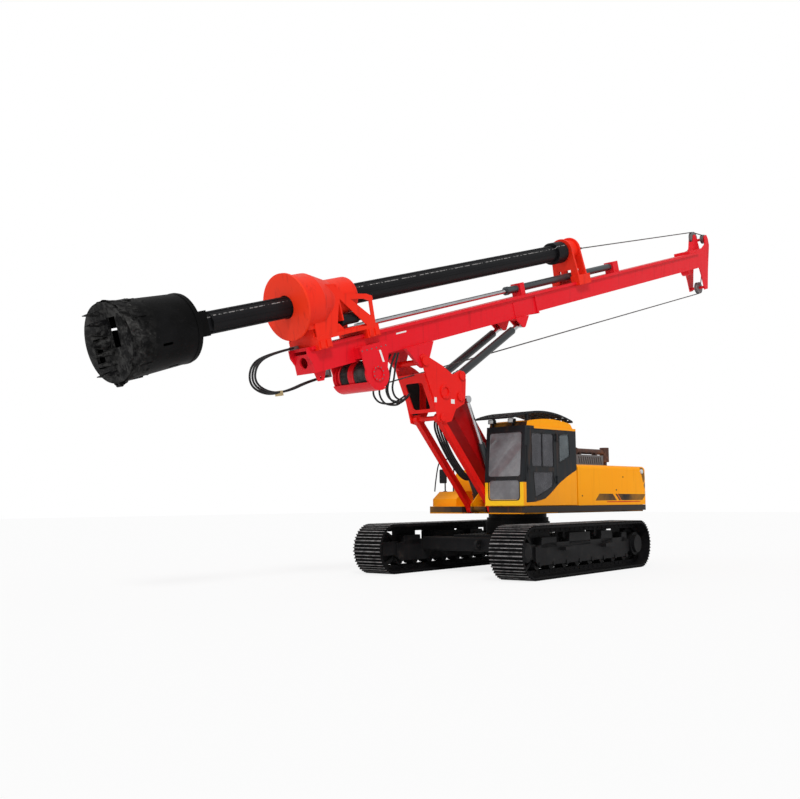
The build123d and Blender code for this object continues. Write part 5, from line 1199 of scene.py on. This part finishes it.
def bodyFittings():
    # latches, tail lamp, handrails, the door's handle and the glass of the work lamps
    made = bmesh.new()
    for x, z in fixings["latches"]:
        addLathe(made, (x, 1.4, z), sideways, cap(0.018, 0.006), 14)
    keep("body_latches", made, "black", "upper")
    made = bmesh.new()
    addLathe(made, (-3.02, 1.4, 2.19), sideways, fixings["lamp"], 20)
    keep("tail_lamp", made, "lens", "upper")
    for name, (radius, line) in rails.items():
        made = bmesh.new()
        addTube(made, smoothLine(line), radius)
        keep(name, made, "black", "upper")
    made = bmesh.new()
    for low, high, y, thick in fixings["handle"]:
        addSlab(made, upright(y, low, high), sideways, thick)
    keep("door_handle", made, "seal", "door", smooth=False)
    made = bmesh.new()
    lamps = fixings["workLamps"]
    for y in lamps["lanes"]:
        corners = crosswise(y - lamps["half"], y + lamps["half"], lamps["low"], lamps["high"])
        addSlab(made, rounded(corners, 0.015), (1, 0, 0), 0.014)
    keep("lamp_glass", made, "lens", "upper")


mastFittings()
hubCaps()
bodyFittings()


stickers = {
    "thick": 0.002,
    "mast": (
        ("sticker_winch", ((-1.30, 0.46), (-1.25, 0.46), (-1.21, 0.22), (-1.26, 0.22)), 0.481),
        ("sticker_mast", ((-0.51, 0.655), (-0.21, 0.655), (-0.21, 0.685), (-0.51, 0.685)), 0.261),
    ),
    "frameY": 0.4,
    "frame": ((3.145, 3.572, 0.07, 0.10), (2.617, 3.571, 0.11, 0.09)),
}


def blankStickers():
    for name, outline, y in stickers["mast"]:
        made = bmesh.new()
        addSlab(made, [onMast(a, b, y) for a, b in outline], (0, 1, 0), stickers["thick"])
        keep(name, made, "sticker", "mast", smooth=False)
    made = bmesh.new()
    for x, z, wide, high in stickers["frame"]:
        low, top = ((x + side * wide / 2, z + side * high / 2) for side in (-1, 1))
        addSlab(made, upright(stickers["frameY"], low, top), (0, 1, 0), stickers["thick"])
    keep("sticker_frame", made, "sticker", "triangle", smooth=False)


blankStickers()
print("fittings placed")


studio = {
    "half": 90, "floor": (0.86, 0.86, 0.86), "floorGlow": 0.82, "room": 0.62, "backdrop": 1.0,
    # direction, power and angle of each sun
    "suns": {"key": ((-0.55, -0.62, -0.75), 1.5, 12), "fill": ((-0.7, 0.45, -0.35), 0.35, 40)},
}


def makeStage():
    # a pale floor and backdrop for the camera only, so that they don't light the machine more
    half = studio["half"]
    mesh = bpy.data.meshes.new("floor")
    corners = [(-half, -half, 0), (half, -half, 0), (half, half, 0), (-half, half, 0)]
    mesh.from_pydata(corners, [], [(0, 1, 2, 3)])
    floor = bpy.data.objects.new("floor", mesh)
    bpy.context.scene.collection.objects.link(floor)
    pale = Finish("pale_floor")
    pale.set(colour=studio["floor"], rough=0.8, gloss=0.1)
    seen = pale.add("LightPath", out="Is Camera Ray")
    glow = pale.add("Emission", {}, {"Color": (1.0, 1.0, 1.0), "Strength": 1.0})
    lit = Signal(pale, pale.shader.outputs[0])
    shown = pale.add("MixShader", {}, {0: seen * studio["floorGlow"], 1: lit, 2: glow})
    pale.feed(pale.tree.nodes["Material Output"].inputs["Surface"], shown)
    mesh.materials.append(pale.material)
    world = bpy.data.worlds.new("studio")
    bpy.context.scene.world = world
    world.use_nodes = True
    sky = world.node_tree
    room, view = sky.nodes["Background"], sky.nodes.new("ShaderNodeBackground")
    for light, strength in ((room, studio["room"]), (view, studio["backdrop"])):
        light.inputs["Color"].default_value = (1, 1, 1, 1)
        light.inputs["Strength"].default_value = strength
    rays = sky.nodes.new("ShaderNodeLightPath")
    blend = sky.nodes.new("ShaderNodeMixShader")
    sky.links.new(rays.outputs["Is Camera Ray"], blend.inputs[0])
    sky.links.new(room.outputs[0], blend.inputs[1])
    sky.links.new(view.outputs[0], blend.inputs[2])
    sky.links.new(blend.outputs[0], sky.nodes["World Output"].inputs["Surface"])
    for name, (direction, power, size) in studio["suns"].items():
        lamp = bpy.data.lights.new(name, "SUN")
        lamp.energy = power
        lamp.angle = math.radians(size)
        holder = bpy.data.objects.new(name, lamp)
        holder.rotation_euler = Vector(direction).to_track_quat("-Z", "Y").to_euler()
        bpy.context.scene.collection.objects.link(holder)
    bpy.context.scene.view_settings.view_transform = "Standard"


makeStage()
print("stage set")
